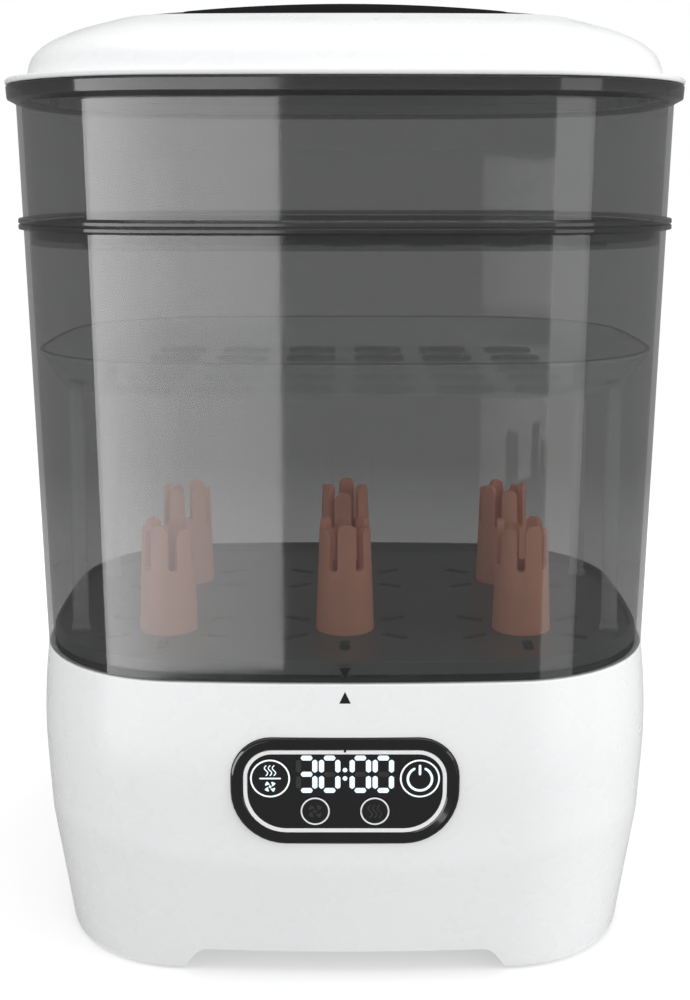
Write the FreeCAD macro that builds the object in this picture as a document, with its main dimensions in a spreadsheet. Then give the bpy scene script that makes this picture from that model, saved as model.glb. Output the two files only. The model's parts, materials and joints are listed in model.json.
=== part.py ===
"""Bottle sterilizer and dryer: a stack of a steam base, two smoky chambers, trays and a lid.

Millimetres. +Z is up, the control panel faces -Y.
The origin is on the ground under the middle of the base.
"""
import FreeCAD, Part
import math
import os
from types import SimpleNamespace

import Sketcher

V = FreeCAD.Vector
ORIGIN, V_AXIS, H_AXIS, CENTRE = -1, -2, -1, 3
START, END = 1, 2

# Driving dimensions: alias, value, what it is.
DRIVING = [
    ("half_width", 134.0, "half width of the reference outline"),
    ("half_depth", 100.0, "half depth of the reference outline"),
    ("corner_radius", 68.0, "corner radius of the reference outline"),
    ("front_radius", 1000.0, "radius of the gently bowed front and back"),
    ("side_radius", 600.0, "radius of the gently bowed sides"),
    ("chin_corner_radius", 70.0, "corner radius of the sloping lower front"),
    ("chin_front_radius", 850.0, "front radius of the sloping lower front"),
    ("chin_slope", 0.162, "how fast the lower part narrows towards the ground"),
    ("wall_slope", 0.0348, "how fast the chambers narrow towards the base"),
    ("wall", 2.2, "thickness of the clear chambers"),
    ("shell", 3.0, "thickness of the base and lid shells"),
    ("gap", 0.3, "gap between stacked parts"),
    ("nest_gap", 0.6, "sideways gap between nested rims"),
    ("joint_height", 128.7, "top of the base"),
    ("joint_grow", -1.3, "outline offset at the top of the base"),
    ("deck_top", 122.5, "top of the recessed deck of the base"),
    ("deck_thickness", 2.5, "thickness of the deck"),
    ("rim_height", 1.2, "lower edge of the base shell above the ground"),
    ("arch_height", 10.5, "height of the arched cut-out"),
    ("arch_half_width", 61.0, "half width of the arched cut-out at its top"),
    ("cover_level", 11.5, "underside of the bottom cover"),
    ("foot_x", 86.0, "rubber feet, sideways"),
    ("foot_y", 60.0, "rubber feet, front to back"),
    ("foot_radius", 10.0, "radius of a rubber foot"),
    ("post_x", 106.0, "screw posts, sideways"),
    ("post_y", 44.0, "screw posts, front to back"),
    ("lower_rim", 311.5, "mouth of the lower chamber"),
    ("flange", 2.2, "thickness of the rims between the chambers"),
    ("flange_grow", 7.2, "outline offset of the rims between the chambers"),
    ("skirt_level", 302.6, "bottom of the skirt that nests in the lower chamber"),
    ("mouth", 369.0, "mouth of the upper chamber"),
    ("mouth_grow", 11.0, "outline offset of the mouth's flange"),
    ("mouth_flange", 5.5, "height of the mouth's flange"),
    ("tray_thickness", 2.2, "thickness of the bottle tray"),
    ("peg_pitch_x", 78.0, "bottle pegs, sideways"),
    ("peg_pitch_y", 78.0, "bottle pegs, front to back"),
    ("peg_radius", 12.0, "outer radius of a peg"),
    ("peg_height", 49.0, "height of a peg"),
    ("rack_level", 243.0, "underside of the middle rack"),
    ("rack_rim", 258.6, "rim of the middle rack"),
    ("leg_x", 116.0, "legs of the middle rack, sideways"),
    ("leg_y", 44.0, "legs of the middle rack, front to back"),
    ("leg_radius", 3.5, "radius of a rack leg"),
    ("lid_rim", 2.5, "thickness of the lid's rim"),
    ("lid_top", 405.2, "top of the lid's handle"),
    ("crown_grow", -36.0, "outline offset of the lid's black crown"),
    ("crown_top", 404.0, "top of the crown"),
    ("well_floor", 391.0, "floor of the finger well"),
    ("well_length", 100.0, "length of the finger well"),
    ("well_width", 44.0, "width of the finger well"),
    ("pan_y", -17.0, "centre of the heating pan"),
    ("pan_radius", 55.0, "inner radius of the heating pan"),
    ("pan_depth", 13.0, "depth of the heating pan"),
    ("blower_x", -19.0, "axis of the blower, sideways"),
    ("blower_z", 62.0, "axis of the blower, height"),
    ("blower_radius", 34.0, "outer radius of the blower housing"),
    ("blower_front", 52.0, "front face of the blower housing"),
    ("blower_back", 84.0, "back face of the blower housing"),
    ("impeller_radius", 27.0, "outer radius of the impeller"),
    ("shaft_radius", 1.5, "radius of the motor's shaft"),
    ("panel_z", 84.0, "middle of the control panel"),
    ("panel_y", -99.7, "front plane of the control panel"),
    ("panel_tilt", 2.1, "tilt of the control panel, degrees"),
    ("panel_width", 92.5, "width of the panel's bezel"),
    ("panel_height", 45.3, "height of the panel's bezel"),
    ("panel_top_radius", 16.6, "upper corner radius of the bezel"),
    ("panel_low_radius", 22.6, "lower corner radius of the bezel"),
    ("bezel_width", 5.0, "width of the bezel's ring"),
    ("trim_width", 1.7, "width of the white trim line"),
    ("big_key_x", 30.3, "large keys, sideways from the middle"),
    ("big_key_z", 5.7, "large keys, above the panel's middle"),
    ("big_key_radius", 8.2, "radius of a large key"),
    ("small_key_x", 12.1, "small keys, sideways from the middle"),
    ("small_key_z", -8.4, "small keys, above the panel's middle"),
    ("small_key_radius", 6.0, "radius of a small key"),
    ("key_gap", 0.25, "gap around a key"),
    ("key_travel", 0.8, "travel of a key"),
    ("gland_x", 62.0, "cord gland, sideways"),
    ("gland_z", 40.0, "cord gland, height"),
    ("gland_seat", 94.4, "flat seat of the cord gland, front to back"),
    ("cord_bore", 3.6, "radius of the gland's bore"),
    ("filter_half_width", 32.0, "half width of the filter's cover"),
    ("filter_half_height", 28.0, "half height of the filter's cover"),
]

doc = FreeCAD.newDocument("bottle_sterilizer")
sheet = doc.addObject("Spreadsheet::Sheet", "Sizes")


class Size:
    """A dimension: its present value, and the spreadsheet expression that it comes from."""

    def __init__(self, value, text):
        self.value = float(value)
        self.text = text

    def __add__(self, other):
        other = as_size(other)
        return Size(self.value + other.value, f"({self.text} + {other.text})")

    def __sub__(self, other):
        other = as_size(other)
        return Size(self.value - other.value, f"({self.text} - {other.text})")

    def __mul__(self, other):
        other = as_size(other)
        return Size(self.value * other.value, f"({self.text} * {other.text})")

    def __truediv__(self, other):
        other = as_size(other)
        return Size(self.value / other.value, f"({self.text} / {other.text})")

    def __neg__(self):
        return Size(-self.value, f"(0 - {self.text})")

    def __radd__(self, other):
        return as_size(other) + self

    def __rsub__(self, other):
        return as_size(other) - self

    def __rmul__(self, other):
        return as_size(other) * self


def as_size(number):
    return number if isinstance(number, Size) else Size(number, f"({float(number)!r})")


def fill_sheet():
    sizes = SimpleNamespace()
    for row, (alias, value, meaning) in enumerate(DRIVING, start=1):
        sheet.set(f"A{row}", meaning)
        sheet.set(f"B{row}", str(value))
        sheet.setAlias(f"B{row}", alias)
        setattr(sizes, alias, Size(value, f"Sizes.{alias}"))
    doc.recompute()
    return sizes


S = fill_sheet()


def bind(thing, prop, size):
    thing.setExpression(prop, as_size(size).text)


# ---------------------------------------------------------------- sketches and features

def new_body(name):
    body = doc.addObject("PartDesign::Body", name)
    body.Label = name
    return body


def new_sketch(body, role, level):
    sketch = body.newObject("Sketcher::SketchObject", body.Name + "_sketch")
    origin_plane = [f for f in body.Origin.OriginFeatures if f.Role == role][0]
    sketch.AttachmentSupport = [(origin_plane, "")]
    sketch.MapMode = "FlatFace"
    bind(sketch, "AttachmentOffset.Base.z", level)
    return sketch


def constrain(sketch, kind, *places, size=None):
    if size is None:
        sketch.addConstraint(Sketcher.Constraint(kind, *places))
        return
    size = as_size(size)
    index = sketch.addConstraint(Sketcher.Constraint(kind, *places, size.value))
    sketch.renameConstraint(index, f"size_{index}")
    sketch.setExpression(f"Constraints.size_{index}", size.text)


def add_arc(sketch, x, y, radius, start, end):
    circle = Part.Circle(V(x, y, 0), V(0, 0, 1), radius)
    return sketch.addGeometry(Part.ArcOfCircle(circle, start, end), False)


def outline(body, level, grow, chin=False):
    """The bowed, round-cornered outline, moved outwards by grow: eight tangent arcs."""
    corner_base = S.chin_corner_radius if chin else S.corner_radius
    front_base = S.chin_front_radius if chin else S.front_radius
    corner, front, side = corner_base + grow, front_base + grow, S.side_radius + grow
    front_centre = front_base - S.half_depth
    side_centre = S.side_radius - S.half_width
    # The corner's centre is where circles about the front's and the side's centres cross.
    to_front, to_side = front.value - corner.value, side.value - corner.value
    f, s = front_centre.value, side_centre.value
    apart = math.hypot(s, f)
    along = (to_front ** 2 - to_side ** 2 + apart ** 2) / (2 * apart)
    across = math.sqrt(to_front ** 2 - along ** 2)
    cx = (-s * along + f * across) / apart
    cy = f - (f * along + s * across) / apart
    turn_front = math.atan2(cy - f, cx)
    turn_side = math.atan2(cy, cx + s)
    sketch = new_sketch(body, "XY_Plane", level)
    add_arc(sketch, 0, f, front.value, -math.pi - turn_front, turn_front)
    add_arc(sketch, cx, cy, corner.value, turn_front, turn_side)
    add_arc(sketch, -s, 0, side.value, turn_side, -turn_side)
    add_arc(sketch, cx, -cy, corner.value, -turn_side, -turn_front)
    add_arc(sketch, 0, -f, front.value, -turn_front, math.pi + turn_front)
    add_arc(sketch, -cx, -cy, corner.value, math.pi + turn_front, math.pi + turn_side)
    add_arc(sketch, s, 0, side.value, math.pi + turn_side, math.pi - turn_side)
    add_arc(sketch, -cx, cy, corner.value, math.pi - turn_side, math.pi - turn_front)
    for i in range(8):
        constrain(sketch, "Tangent", i, END, (i + 1) % 8, START)
    constrain(sketch, "Radius", 0, size=front)
    constrain(sketch, "Radius", 1, size=corner)
    constrain(sketch, "Radius", 2, size=side)
    for first, second in ((0, 4), (2, 6), (1, 3), (1, 5), (1, 7)):
        constrain(sketch, "Equal", first, second)
    for arc, axis in ((0, V_AXIS), (4, V_AXIS), (2, H_AXIS), (6, H_AXIS)):
        constrain(sketch, "PointOnObject", arc, CENTRE, axis)
    constrain(sketch, "DistanceY", ORIGIN, START, 0, CENTRE, size=front_centre)
    constrain(sketch, "DistanceY", 4, CENTRE, ORIGIN, START, size=front_centre)
    constrain(sketch, "DistanceX", 2, CENTRE, ORIGIN, START, size=side_centre)
    constrain(sketch, "DistanceX", ORIGIN, START, 6, CENTRE, size=side_centre)
    return sketch


def place_point(sketch, element, point, x, y):
    constrain(sketch, "DistanceX", ORIGIN, START, element, point, size=x)
    constrain(sketch, "DistanceY", ORIGIN, START, element, point, size=y)


def circles(body, role, level, places):
    """One sketch of circles, each given as centre x, centre y and radius."""
    sketch = new_sketch(body, role, level)
    for x, y, radius in places:
        x, y, radius = as_size(x), as_size(y), as_size(radius)
        circle = Part.Circle(V(x.value, y.value, 0), V(0, 0, 1), radius.value)
        index = sketch.addGeometry(circle, False)
        constrain(sketch, "Radius", index, size=radius)
        place_point(sketch, index, CENTRE, x, y)
    return sketch


def add_rectangle(sketch, x, y, width, height):
    x, y, width, height = [as_size(v) for v in (x, y, width, height)]
    left, right = x - width / 2, x + width / 2
    low, high = y - height / 2, y + height / 2
    corners = [(left, low), (right, low), (right, high), (left, high)]
    first = sketch.GeometryCount
    for i in range(4):
        (ax, ay), (bx, by) = corners[i], corners[(i + 1) % 4]
        sketch.addGeometry(Part.LineSegment(V(ax.value, ay.value, 0), V(bx.value, by.value, 0)), False)
    for i in range(4):
        constrain(sketch, "Coincident", first + i, END, first + (i + 1) % 4, START)
    for i, kind in enumerate(("Horizontal", "Vertical", "Horizontal", "Vertical")):
        constrain(sketch, kind, first + i)
    place_point(sketch, first, START, left, low)
    place_point(sketch, first + 2, START, right, high)


def rectangles(body, role, level, places):
    """One sketch of rectangles, each given as centre x, centre y, width and height."""
    sketch = new_sketch(body, role, level)
    for place in places:
        add_rectangle(sketch, *place)
    return sketch


def add_slot(sketch, x, y, length, width, degrees=0):
    """A round-ended slot, its long side turned by degrees from the sketch's x axis."""
    x, y, length, width = [as_size(v) for v in (x, y, length, width)]
    turn, quarter = math.radians(degrees), math.pi / 2
    reach, radius = (length - width) / 2, width / 2
    ends = []
    for sign in (1, -1):
        ends.append((x + reach * (sign * math.cos(turn)), y + reach * (sign * math.sin(turn))))
    first = sketch.GeometryCount
    sides = []
    for k, (ex, ey) in enumerate(ends):
        start = turn - quarter + k * math.pi
        add_arc(sketch, ex.value, ey.value, radius.value, start, start + math.pi)
        edge = V(-math.sin(turn), math.cos(turn), 0) * (radius.value * (1 - 2 * k))
        centres = [V(cx.value, cy.value, 0) for cx, cy in (ends if k == 0 else reversed(ends))]
        sides.append(Part.LineSegment(centres[0] + edge, centres[1] + edge))
    for side in sides:
        sketch.addGeometry(side, False)
    far, near, side_one, side_two = first, first + 1, first + 2, first + 3
    for a, b in ((far, side_one), (side_one, near), (near, side_two), (side_two, far)):
        constrain(sketch, "Tangent", a, END, b, START)
    constrain(sketch, "Radius", far, size=radius)
    constrain(sketch, "Equal", far, near)
    for k, (ex, ey) in enumerate(ends):
        place_point(sketch, first + k, CENTRE, ex, ey)


def slots(body, role, level, places):
    """One sketch of slots, each given as centre x, centre y, length, width and turn in degrees."""
    sketch = new_sketch(body, role, level)
    for place in places:
        add_slot(sketch, *place)
    return sketch


def loft(body, sketches, ruled=True, cut=False):
    kind = "SubtractiveLoft" if cut else "AdditiveLoft"
    feature = body.newObject("PartDesign::" + kind, body.Name + "_loft")
    feature.Profile = sketches[0]
    feature.Sections = sketches[1:]
    feature.Ruled = ruled
    return feature


def pad(body, sketch, length, down=False):
    feature = body.newObject("PartDesign::Pad", body.Name + "_pad")
    feature.Profile = sketch
    bind(feature, "Length", length)
    feature.Reversed = down
    return feature


def pocket(body, sketch, length, up=False):
    """Cuts away from the sketch's normal, or along it if up."""
    feature = body.newObject("PartDesign::Pocket", body.Name + "_pocket")
    feature.Profile = sketch
    bind(feature, "Length", length)
    feature.Reversed = up
    return feature


def revolve(body, points, x=0, y=0):
    """A solid of revolution about a vertical axis at x, y, from (radius, height) points."""
    sketch = new_sketch(body, "XZ_Plane", 0)
    polygon(sketch, points)
    feature = body.newObject("PartDesign::Revolution", body.Name + "_revolution")
    feature.Profile = sketch
    feature.ReferenceAxis = (sketch, ["V_Axis"])
    feature.Angle = 360.0
    bind(body, "Placement.Base.x", x)
    bind(body, "Placement.Base.y", y)
    return feature


def polygon(sketch, points):
    points = [(as_size(x), as_size(y)) for x, y in points]
    first = sketch.GeometryCount
    count = len(points)
    for i in range(count):
        a, b = points[i], points[(i + 1) % count]
        line = Part.LineSegment(V(a[0].value, a[1].value, 0), V(b[0].value, b[1].value, 0))
        sketch.addGeometry(line, False)
    for i, (x, y) in enumerate(points):
        constrain(sketch, "Coincident", first + (i - 1) % count, END, first + i, START)
        place_point(sketch, first + i, START, x, y)


def box(name, low, high):
    """A Part::Box from its lowest and highest corners."""
    thing = doc.addObject("Part::Box", name)
    for axis, prop, a, b in zip("xyz", ("Length", "Width", "Height"), low, high):
        bind(thing, f"Placement.Base.{axis}", a)
        bind(thing, prop, as_size(b) - a)
    return thing


def cylinder(name, radius, length, x, y, z, along_y=False):
    """A Part::Cylinder that starts at x, y, z and runs up, or towards +Y if along_y."""
    thing = doc.addObject("Part::Cylinder", name)
    if along_y:
        thing.Placement = FreeCAD.Placement(V(0, 0, 0), FreeCAD.Rotation(V(1, 0, 0), -90))
    bind(thing, "Radius", radius)
    bind(thing, "Height", length)
    for axis, value in zip("xyz", (x, y, z)):
        bind(thing, f"Placement.Base.{axis}", value)
    return thing


def fuse(name, shapes):
    thing = doc.addObject("Part::MultiFuse", name)
    thing.Shapes = shapes
    thing.Label = name
    return thing


def common(name, shapes):
    thing = doc.addObject("Part::MultiCommon", name)
    thing.Shapes = shapes
    thing.Label = name
    return thing


def cut(name, base, tools):
    """The base without the tools."""
    thing = doc.addObject("Part::Cut", name)
    thing.Base = base
    thing.Tool = tools[0] if len(tools) == 1 else fuse(name + "_tools", tools)
    thing.Label = name
    return thing


def group_of_solids(name, pieces):
    """Identical separate solids in one sub-part."""
    thing = doc.addObject("Part::Compound", name)
    thing.Links = pieces
    thing.Label = name
    return thing


def corners(x, y):
    return [(sx * x, sy * y) for sx in (1, -1) for sy in (1, -1)]


def wall_grow(level):
    """The chambers' outline offset at a level."""
    return S.joint_grow + S.wall_slope * (level - S.joint_height)


def chin_grow(level):
    return S.chin_slope * level - 9.8


SUBPARTS = {}


def keep(name, thing):
    thing.Label = name
    SUBPARTS[name] = thing
    return thing


def panel_outline(body, level, inset):
    """The control panel's outline in its own plane: its upper corners are tighter than its lower ones."""
    half, tall = S.panel_width / 2 - inset, S.panel_height / 2 - inset
    upper, lower = S.panel_top_radius - inset, S.panel_low_radius - inset
    right, up = half.value, tall.value
    ru, rl = upper.value, lower.value
    quarter = math.pi / 2
    sketch = new_sketch(body, "XZ_Plane", level)
    turns = [(-right + rl, -up + rl, rl, -2), (right - rl, -up + rl, rl, -1),
             (right - ru, up - ru, ru, 0), (-right + ru, up - ru, ru, 1)]
    ends = []
    for i, (cx, cy, radius, k) in enumerate(turns):
        start = k * quarter
        add_arc(sketch, cx, cy, radius, start, start + quarter)
        centre = V(cx, cy, 0)
        ends.append((centre + V(math.cos(start), math.sin(start), 0) * radius,
                     centre + V(math.cos(start + quarter), math.sin(start + quarter), 0) * radius))
    for i in range(4):
        sketch.addGeometry(Part.LineSegment(ends[i][1], ends[(i + 1) % 4][0]), False)
    for i in range(4):
        constrain(sketch, "Tangent", i, END, 4 + i, START)
        constrain(sketch, "Tangent", 4 + i, END, (i + 1) % 4, START)
    for i, kind in enumerate(("Horizontal", "Vertical", "Horizontal", "Vertical")):
        constrain(sketch, kind, 4 + i)
    constrain(sketch, "Radius", 1, size=lower)
    constrain(sketch, "Radius", 2, size=upper)
    constrain(sketch, "Equal", 0, 1)
    constrain(sketch, "Equal", 2, 3)
    for i, distance, extent in ((4, "DistanceY", -tall), (6, "DistanceY", tall),
                                (5, "DistanceX", half), (7, "DistanceX", -half)):
        constrain(sketch, distance, ORIGIN, START, i, START, size=extent)
    return sketch


def on_panel(thing):
    """Moves a part from the panel's own frame to its place on the front."""
    thing.Placement = FreeCAD.Placement(V(0, 0, 0), FreeCAD.Rotation(V(1, 0, 0), S.panel_tilt.value))
    bind(thing, "Placement.Base.y", S.panel_y)
    bind(thing, "Placement.Base.z", S.panel_z)
    return thing


def panel_plate(name, front, depth, inset):
    """A plate with the panel's outline, from front (towards the user) back by depth."""
    body = new_body(name)
    pad(body, panel_outline(body, front, inset), depth, down=True)
    return on_panel(body)


def slot_rows(body, level, depth, columns, rows, pitch_x, pitch_y, length, width, fewer=1):
    """Rows of round-ended slots cut up through a floor; every second row has fewer, which shifts it."""
    for j in range(rows):
        y = (j - (rows - 1) / 2) * pitch_y
        count = columns - j % 2 * fewer
        places = [((i - (count - 1) / 2) * pitch_x, y, length, width, 0) for i in range(count)]
        pocket(body, slots(body, "XY_Plane", level, places), depth, up=True)


# ---------------------------------------------------------------- base

BODY_PROFILE = [(0, -4.5), (30, -2.8), (60, -1.1), (90, 0.7), (110, 0.3)]


def base_outer(name):
    """The outer form of the base: a soft barrel, met at its foot by a steeper slope along a curved crease."""
    barrel = new_body(name + "_barrel")
    top = S.joint_height - S.gap
    sections = [outline(barrel, S.rim_height if z == 0 else z, g) for z, g in BODY_PROFILE]
    sections.append(outline(barrel, top, S.joint_grow))
    loft(barrel, sections, ruled=False)
    chin = new_body(name + "_chin")
    levels = (as_size(-5), as_size(70), S.joint_height + 10)
    loft(chin, [outline(chin, z, chin_grow(z), chin=True) for z in levels], ruled=False)
    return common(name, [barrel, chin])


def base_cavity():
    body = new_body("base_cavity")
    levels = [(-1, chin_grow(as_size(0)) - S.shell - 0.6), (50, -6.2), (90, -3.4)]
    sections = [outline(body, z, g) for z, g in levels]
    sections.append(outline(body, S.deck_top - S.deck_thickness, S.joint_grow - S.shell))
    loft(body, sections)
    return body


def deck_recess():
    body = new_body("deck_recess")
    pad(body, outline(body, S.deck_top, S.joint_grow - S.shell), 20)
    return body


def arch_cutter():
    """The arched cut-out under the front and the back."""
    body = new_body("arch_cutter")
    sketch = new_sketch(body, "XZ_Plane", 150)
    wide, narrow = S.arch_half_width + 8, S.arch_half_width
    low, high = as_size(-1), S.arch_height
    polygon(sketch, [(-wide, low), (wide, low), (narrow, high), (-narrow, high)])
    pad(body, sketch, 300, down=True)
    return body


def filter_opening(name, clearance):
    x, z = S.blower_x, S.blower_z
    wide, tall = S.filter_half_width + clearance, S.filter_half_height + clearance
    return box(name, (x - wide, 70, z - tall), (x + wide, 110, z + tall))


def base_shell():
    posts = [cylinder("screw_post", 4.5, S.deck_top - S.deck_thickness - 14 + 1, x, y, 14)
             for x, y in corners(S.post_x, S.post_y)]
    pilots = [cylinder("screw_pilot", 1.4, 16, x, y, 13) for x, y in corners(S.post_x, S.post_y)]
    hollow = cut("base_hollow", base_outer("base_form"), [base_cavity(), deck_recess(), arch_cutter()])
    pan_hole = cylinder("pan_hole", S.pan_radius + 3, 20, 0, S.pan_y, S.deck_top - 10)
    outlet_hole = box("outlet_hole", (-28, 54, S.deck_top - 10), (28, 82, S.deck_top + 10))
    panel_hole = panel_plate("panel_hole", 20, 40, -0.2)
    gland_hole = cylinder("gland_hole", 7.0, 40, S.gland_x, 70, S.gland_z, along_y=True)
    gland_spot = cylinder("gland_spot", 10.4, 20, S.gland_x, S.gland_seat, S.gland_z, along_y=True)
    filter_hole = filter_opening("filter_hole", 0.5)
    tools = pilots + [gland_spot, pan_hole, outlet_hole, panel_hole, gland_hole, filter_hole]
    return cut("base_shell", fuse("base_with_posts", [hollow] + posts), tools)


def base_bottom_cover():
    body = new_body("base_bottom_cover_plate")
    level = S.cover_level
    pad(body, outline(body, level, chin_grow(level) - S.shell - 1.4), 2.5)
    vents = [(x, y, 40, 3, 0) for x in (-36, 36) for y in (-24, -12, 12, 24)]
    pocket(body, slots(body, "XY_Plane", level, vents), 2.5, up=True)
    feet = [cylinder("foot_boss", S.foot_radius + 2.5, level - 2 + 1, x, y, 2)
            for x, y in corners(S.foot_x, S.foot_y)]
    sockets = [cylinder("foot_socket", S.foot_radius + 0.1, 2.5, x, y, 1)
               for x, y in corners(S.foot_x, S.foot_y)]
    holes = [cylinder("cover_hole", 1.9, 10, x, y, level - 1) for x, y in corners(S.post_x, S.post_y)]
    legs = [cylinder("board_post", 3.0, 8.5, x, y, level + 2) for x, y in board_corners()]
    solid = fuse("cover_solid", [body] + feet + legs)
    return cut("base_bottom_cover", solid, sockets + holes)


def rubber_feet():
    return group_of_solids("rubber_feet", [cylinder("foot", S.foot_radius, 3.5, x, y, 0)
                                           for x, y in corners(S.foot_x, S.foot_y)])


def screws(name, places, head_radius, shank_radius, length, head=1.6):
    """Upright screws whose heads sit below their shanks, each given as x, y and the head's upper face."""
    pieces = []
    for x, y, z in places:
        shank = cylinder(name + "_shank", shank_radius, length, x, y, z)
        cap = cylinder(name + "_head", head_radius, head, x, y, as_size(z) - head)
        pieces.append(fuse(name + "_screw", [shank, cap]))
    return group_of_solids(name, pieces)


def cover_screws():
    places = [(x, y, S.cover_level) for x, y in corners(S.post_x, S.post_y)]
    return screws("cover_screws", places, 3.2, 1.4, 12)


def heating_pan():
    """A steel dish whose flange rests on its gasket."""
    flange = S.deck_top + 1.2
    inner, outer = S.pan_radius, S.pan_radius + 1.2
    floor = flange - S.pan_depth
    body = new_body("heating_pan")
    section = [(0, floor), (inner - 4, floor), (outer, floor + 5), (outer, flange), (inner + 9, flange)]
    section += [(inner + 9, flange + 1.2), (inner, flange + 1.2), (inner, floor + 5.6)]
    section += [(inner - 4.5, floor + 1.2), (0, floor + 1.2)]
    revolve(body, section, y=S.pan_y)
    return body


def pan_gasket():
    body = new_body("pan_gasket")
    inner = S.pan_radius + 3
    revolve(body, [(inner, S.deck_top), (inner + 5, S.deck_top), (inner + 5, S.deck_top + 1.2),
                   (inner, S.deck_top + 1.2)], y=S.pan_y)
    return body


def clamp_screw_places():
    reach = S.pan_radius + 8
    angles = [math.radians(turn) for turn in (30, 150, 270)]
    return [(reach * math.cos(angle), reach * math.sin(angle)) for angle in angles]


def pan_clamp_ring():
    body = new_body("pan_clamp_ring")
    top = S.deck_top - S.deck_thickness
    inner = S.pan_radius + 1.2
    revolve(body, [(inner, top - 2), (inner + 11, top - 2), (inner + 11, top), (inner, top)], y=S.pan_y)
    holes = [(x, y, 1.3) for x, y in clamp_screw_places()]
    pocket(body, circles(body, "XY_Plane", top, holes), 2)
    return body


def clamp_screws():
    level = S.deck_top - S.deck_thickness - 2
    places = [(x, S.pan_y + y, level) for x, y in clamp_screw_places()]
    return screws("clamp_screws", places, 2.6, 1.2, 2.0, head=1.4)


def heating_element():
    """A tube bent to an open ring under the pan, with its two terminals hanging down."""
    radius, tube = 38, 3.2
    level = S.deck_top + 1.2 - S.pan_depth - tube
    ring = doc.addObject("Part::Torus", "element_ring")
    bind(ring, "Radius1", radius)
    bind(ring, "Radius2", tube)
    ring.Angle3 = 300
    ring.Placement = FreeCAD.Placement(V(0, 0, 0), FreeCAD.Rotation(V(0, 0, 1), -60))
    bind(ring, "Placement.Base.y", S.pan_y)
    bind(ring, "Placement.Base.z", level)
    ends = []
    for turn in (-60, 240):
        angle = math.radians(turn)
        ends.append(cylinder("element_terminal", 2.6, 14, radius * math.cos(angle),
                             S.pan_y + radius * math.sin(angle), level - 14))
    return fuse("heating_element", [ring] + ends)


def thermostat():
    top = S.deck_top + 1.2 - S.pan_depth
    can = cylinder("thermostat_can", 8, 6, 0, S.pan_y, top - 6)
    stem = box("thermostat_tabs", (-9, S.pan_y - 3, top - 12), (9, S.pan_y + 3, top - 5))
    return fuse("thermostat", [can, stem])


def thermal_fuse():
    top = S.deck_top + 1.2 - S.pan_depth
    return cylinder("thermal_fuse", 2.2, 14, 18, S.pan_y - 7, top - 2.2, along_y=True)


def air_outlet_grille():
    body = new_body("air_outlet_grille")
    pad(body, rectangles(body, "XY_Plane", S.deck_top, [(0, 68, 64, 34)]), 2.0)
    places = [(x, 68, 24, 3.2, 90) for x in range(-24, 25, 6)]
    pocket(body, slots(body, "XY_Plane", S.deck_top, places), 2.0, up=True)
    return body


def air_duct():
    top, low = S.deck_top - S.deck_thickness, S.blower_z + S.blower_radius + 1
    front, back = S.blower_front, S.blower_back
    outside = box("duct_outside", (-30, front, low), (30, back, top))
    inside = box("duct_inside", (-28, front + 2, low + 2), (28, back - 2, top + 1))
    neck = box("duct_neck_hole", (S.blower_x + 2, front + 2, low - 1), (-S.blower_x - 2, back - 2, low + 5))
    return cut("air_duct", outside, [inside, neck])


def air_heater():
    """A finned block across the duct."""
    low = S.blower_z + S.blower_radius + 6
    block = box("heater_block", (-28, S.blower_front + 2, low), (28, S.blower_back - 2, low + 12))
    gaps = [box("heater_gap", (x - 1.6, S.blower_front + 5, low - 1), (x + 1.6, S.blower_back - 5, low + 13))
            for x in range(-24, 25, 6)]
    return cut("air_heater", block, gaps)


def blower_form(name, radius, front, back, side, top):
    """The snail of the blower: a drum with a neck that runs up beside it."""
    deep = as_size(back) - front
    drum = cylinder(name + "_drum", radius, deep, S.blower_x, front, S.blower_z, along_y=True)
    neck = box(name + "_neck", (S.blower_x + side, front, S.blower_z), (-S.blower_x - side, back, top))
    return fuse(name, [drum, neck])


def blower_housing():
    front, back = S.blower_front, S.blower_back - 2
    top = S.blower_z + S.blower_radius + 1
    outside = blower_form("housing_outside", S.blower_radius, front, back, 0, top)
    inside = blower_form("housing_inside", S.blower_radius - 2, front + 2, back + 1, 2, top + 1)
    shaft_hole = cylinder("housing_shaft_hole", 4, 10, S.blower_x, front - 4, S.blower_z, along_y=True)
    return cut("blower_housing", outside, [inside, shaft_hole])


def blower_inlet_cover():
    plate = blower_form("inlet_plate", S.blower_radius, S.blower_back - 2, S.blower_back, 0,
                        S.blower_z + S.blower_radius + 1)
    inlet = cylinder("inlet_hole", 19, 10, S.blower_x, S.blower_back - 5, S.blower_z, along_y=True)
    return cut("blower_inlet_cover", plate, [inlet])


def blower_motor():
    x, y, z = S.blower_x, S.blower_front, S.blower_z
    can = cylinder("motor_can", 15, 22, x, y - 22, z, along_y=True)
    nose = cylinder("motor_nose", 3.5, 3, x, y, z, along_y=True)
    bore = cylinder("motor_bore", S.shaft_radius + 0.05, 30, x, y - 18, z, along_y=True)
    return cut("blower_motor", fuse("motor_solid", [can, nose]), [bore])


def motor_shaft():
    start = S.blower_front - 17
    return cylinder("motor_shaft", S.shaft_radius, 38, S.blower_x, start, S.blower_z, along_y=True)


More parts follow.
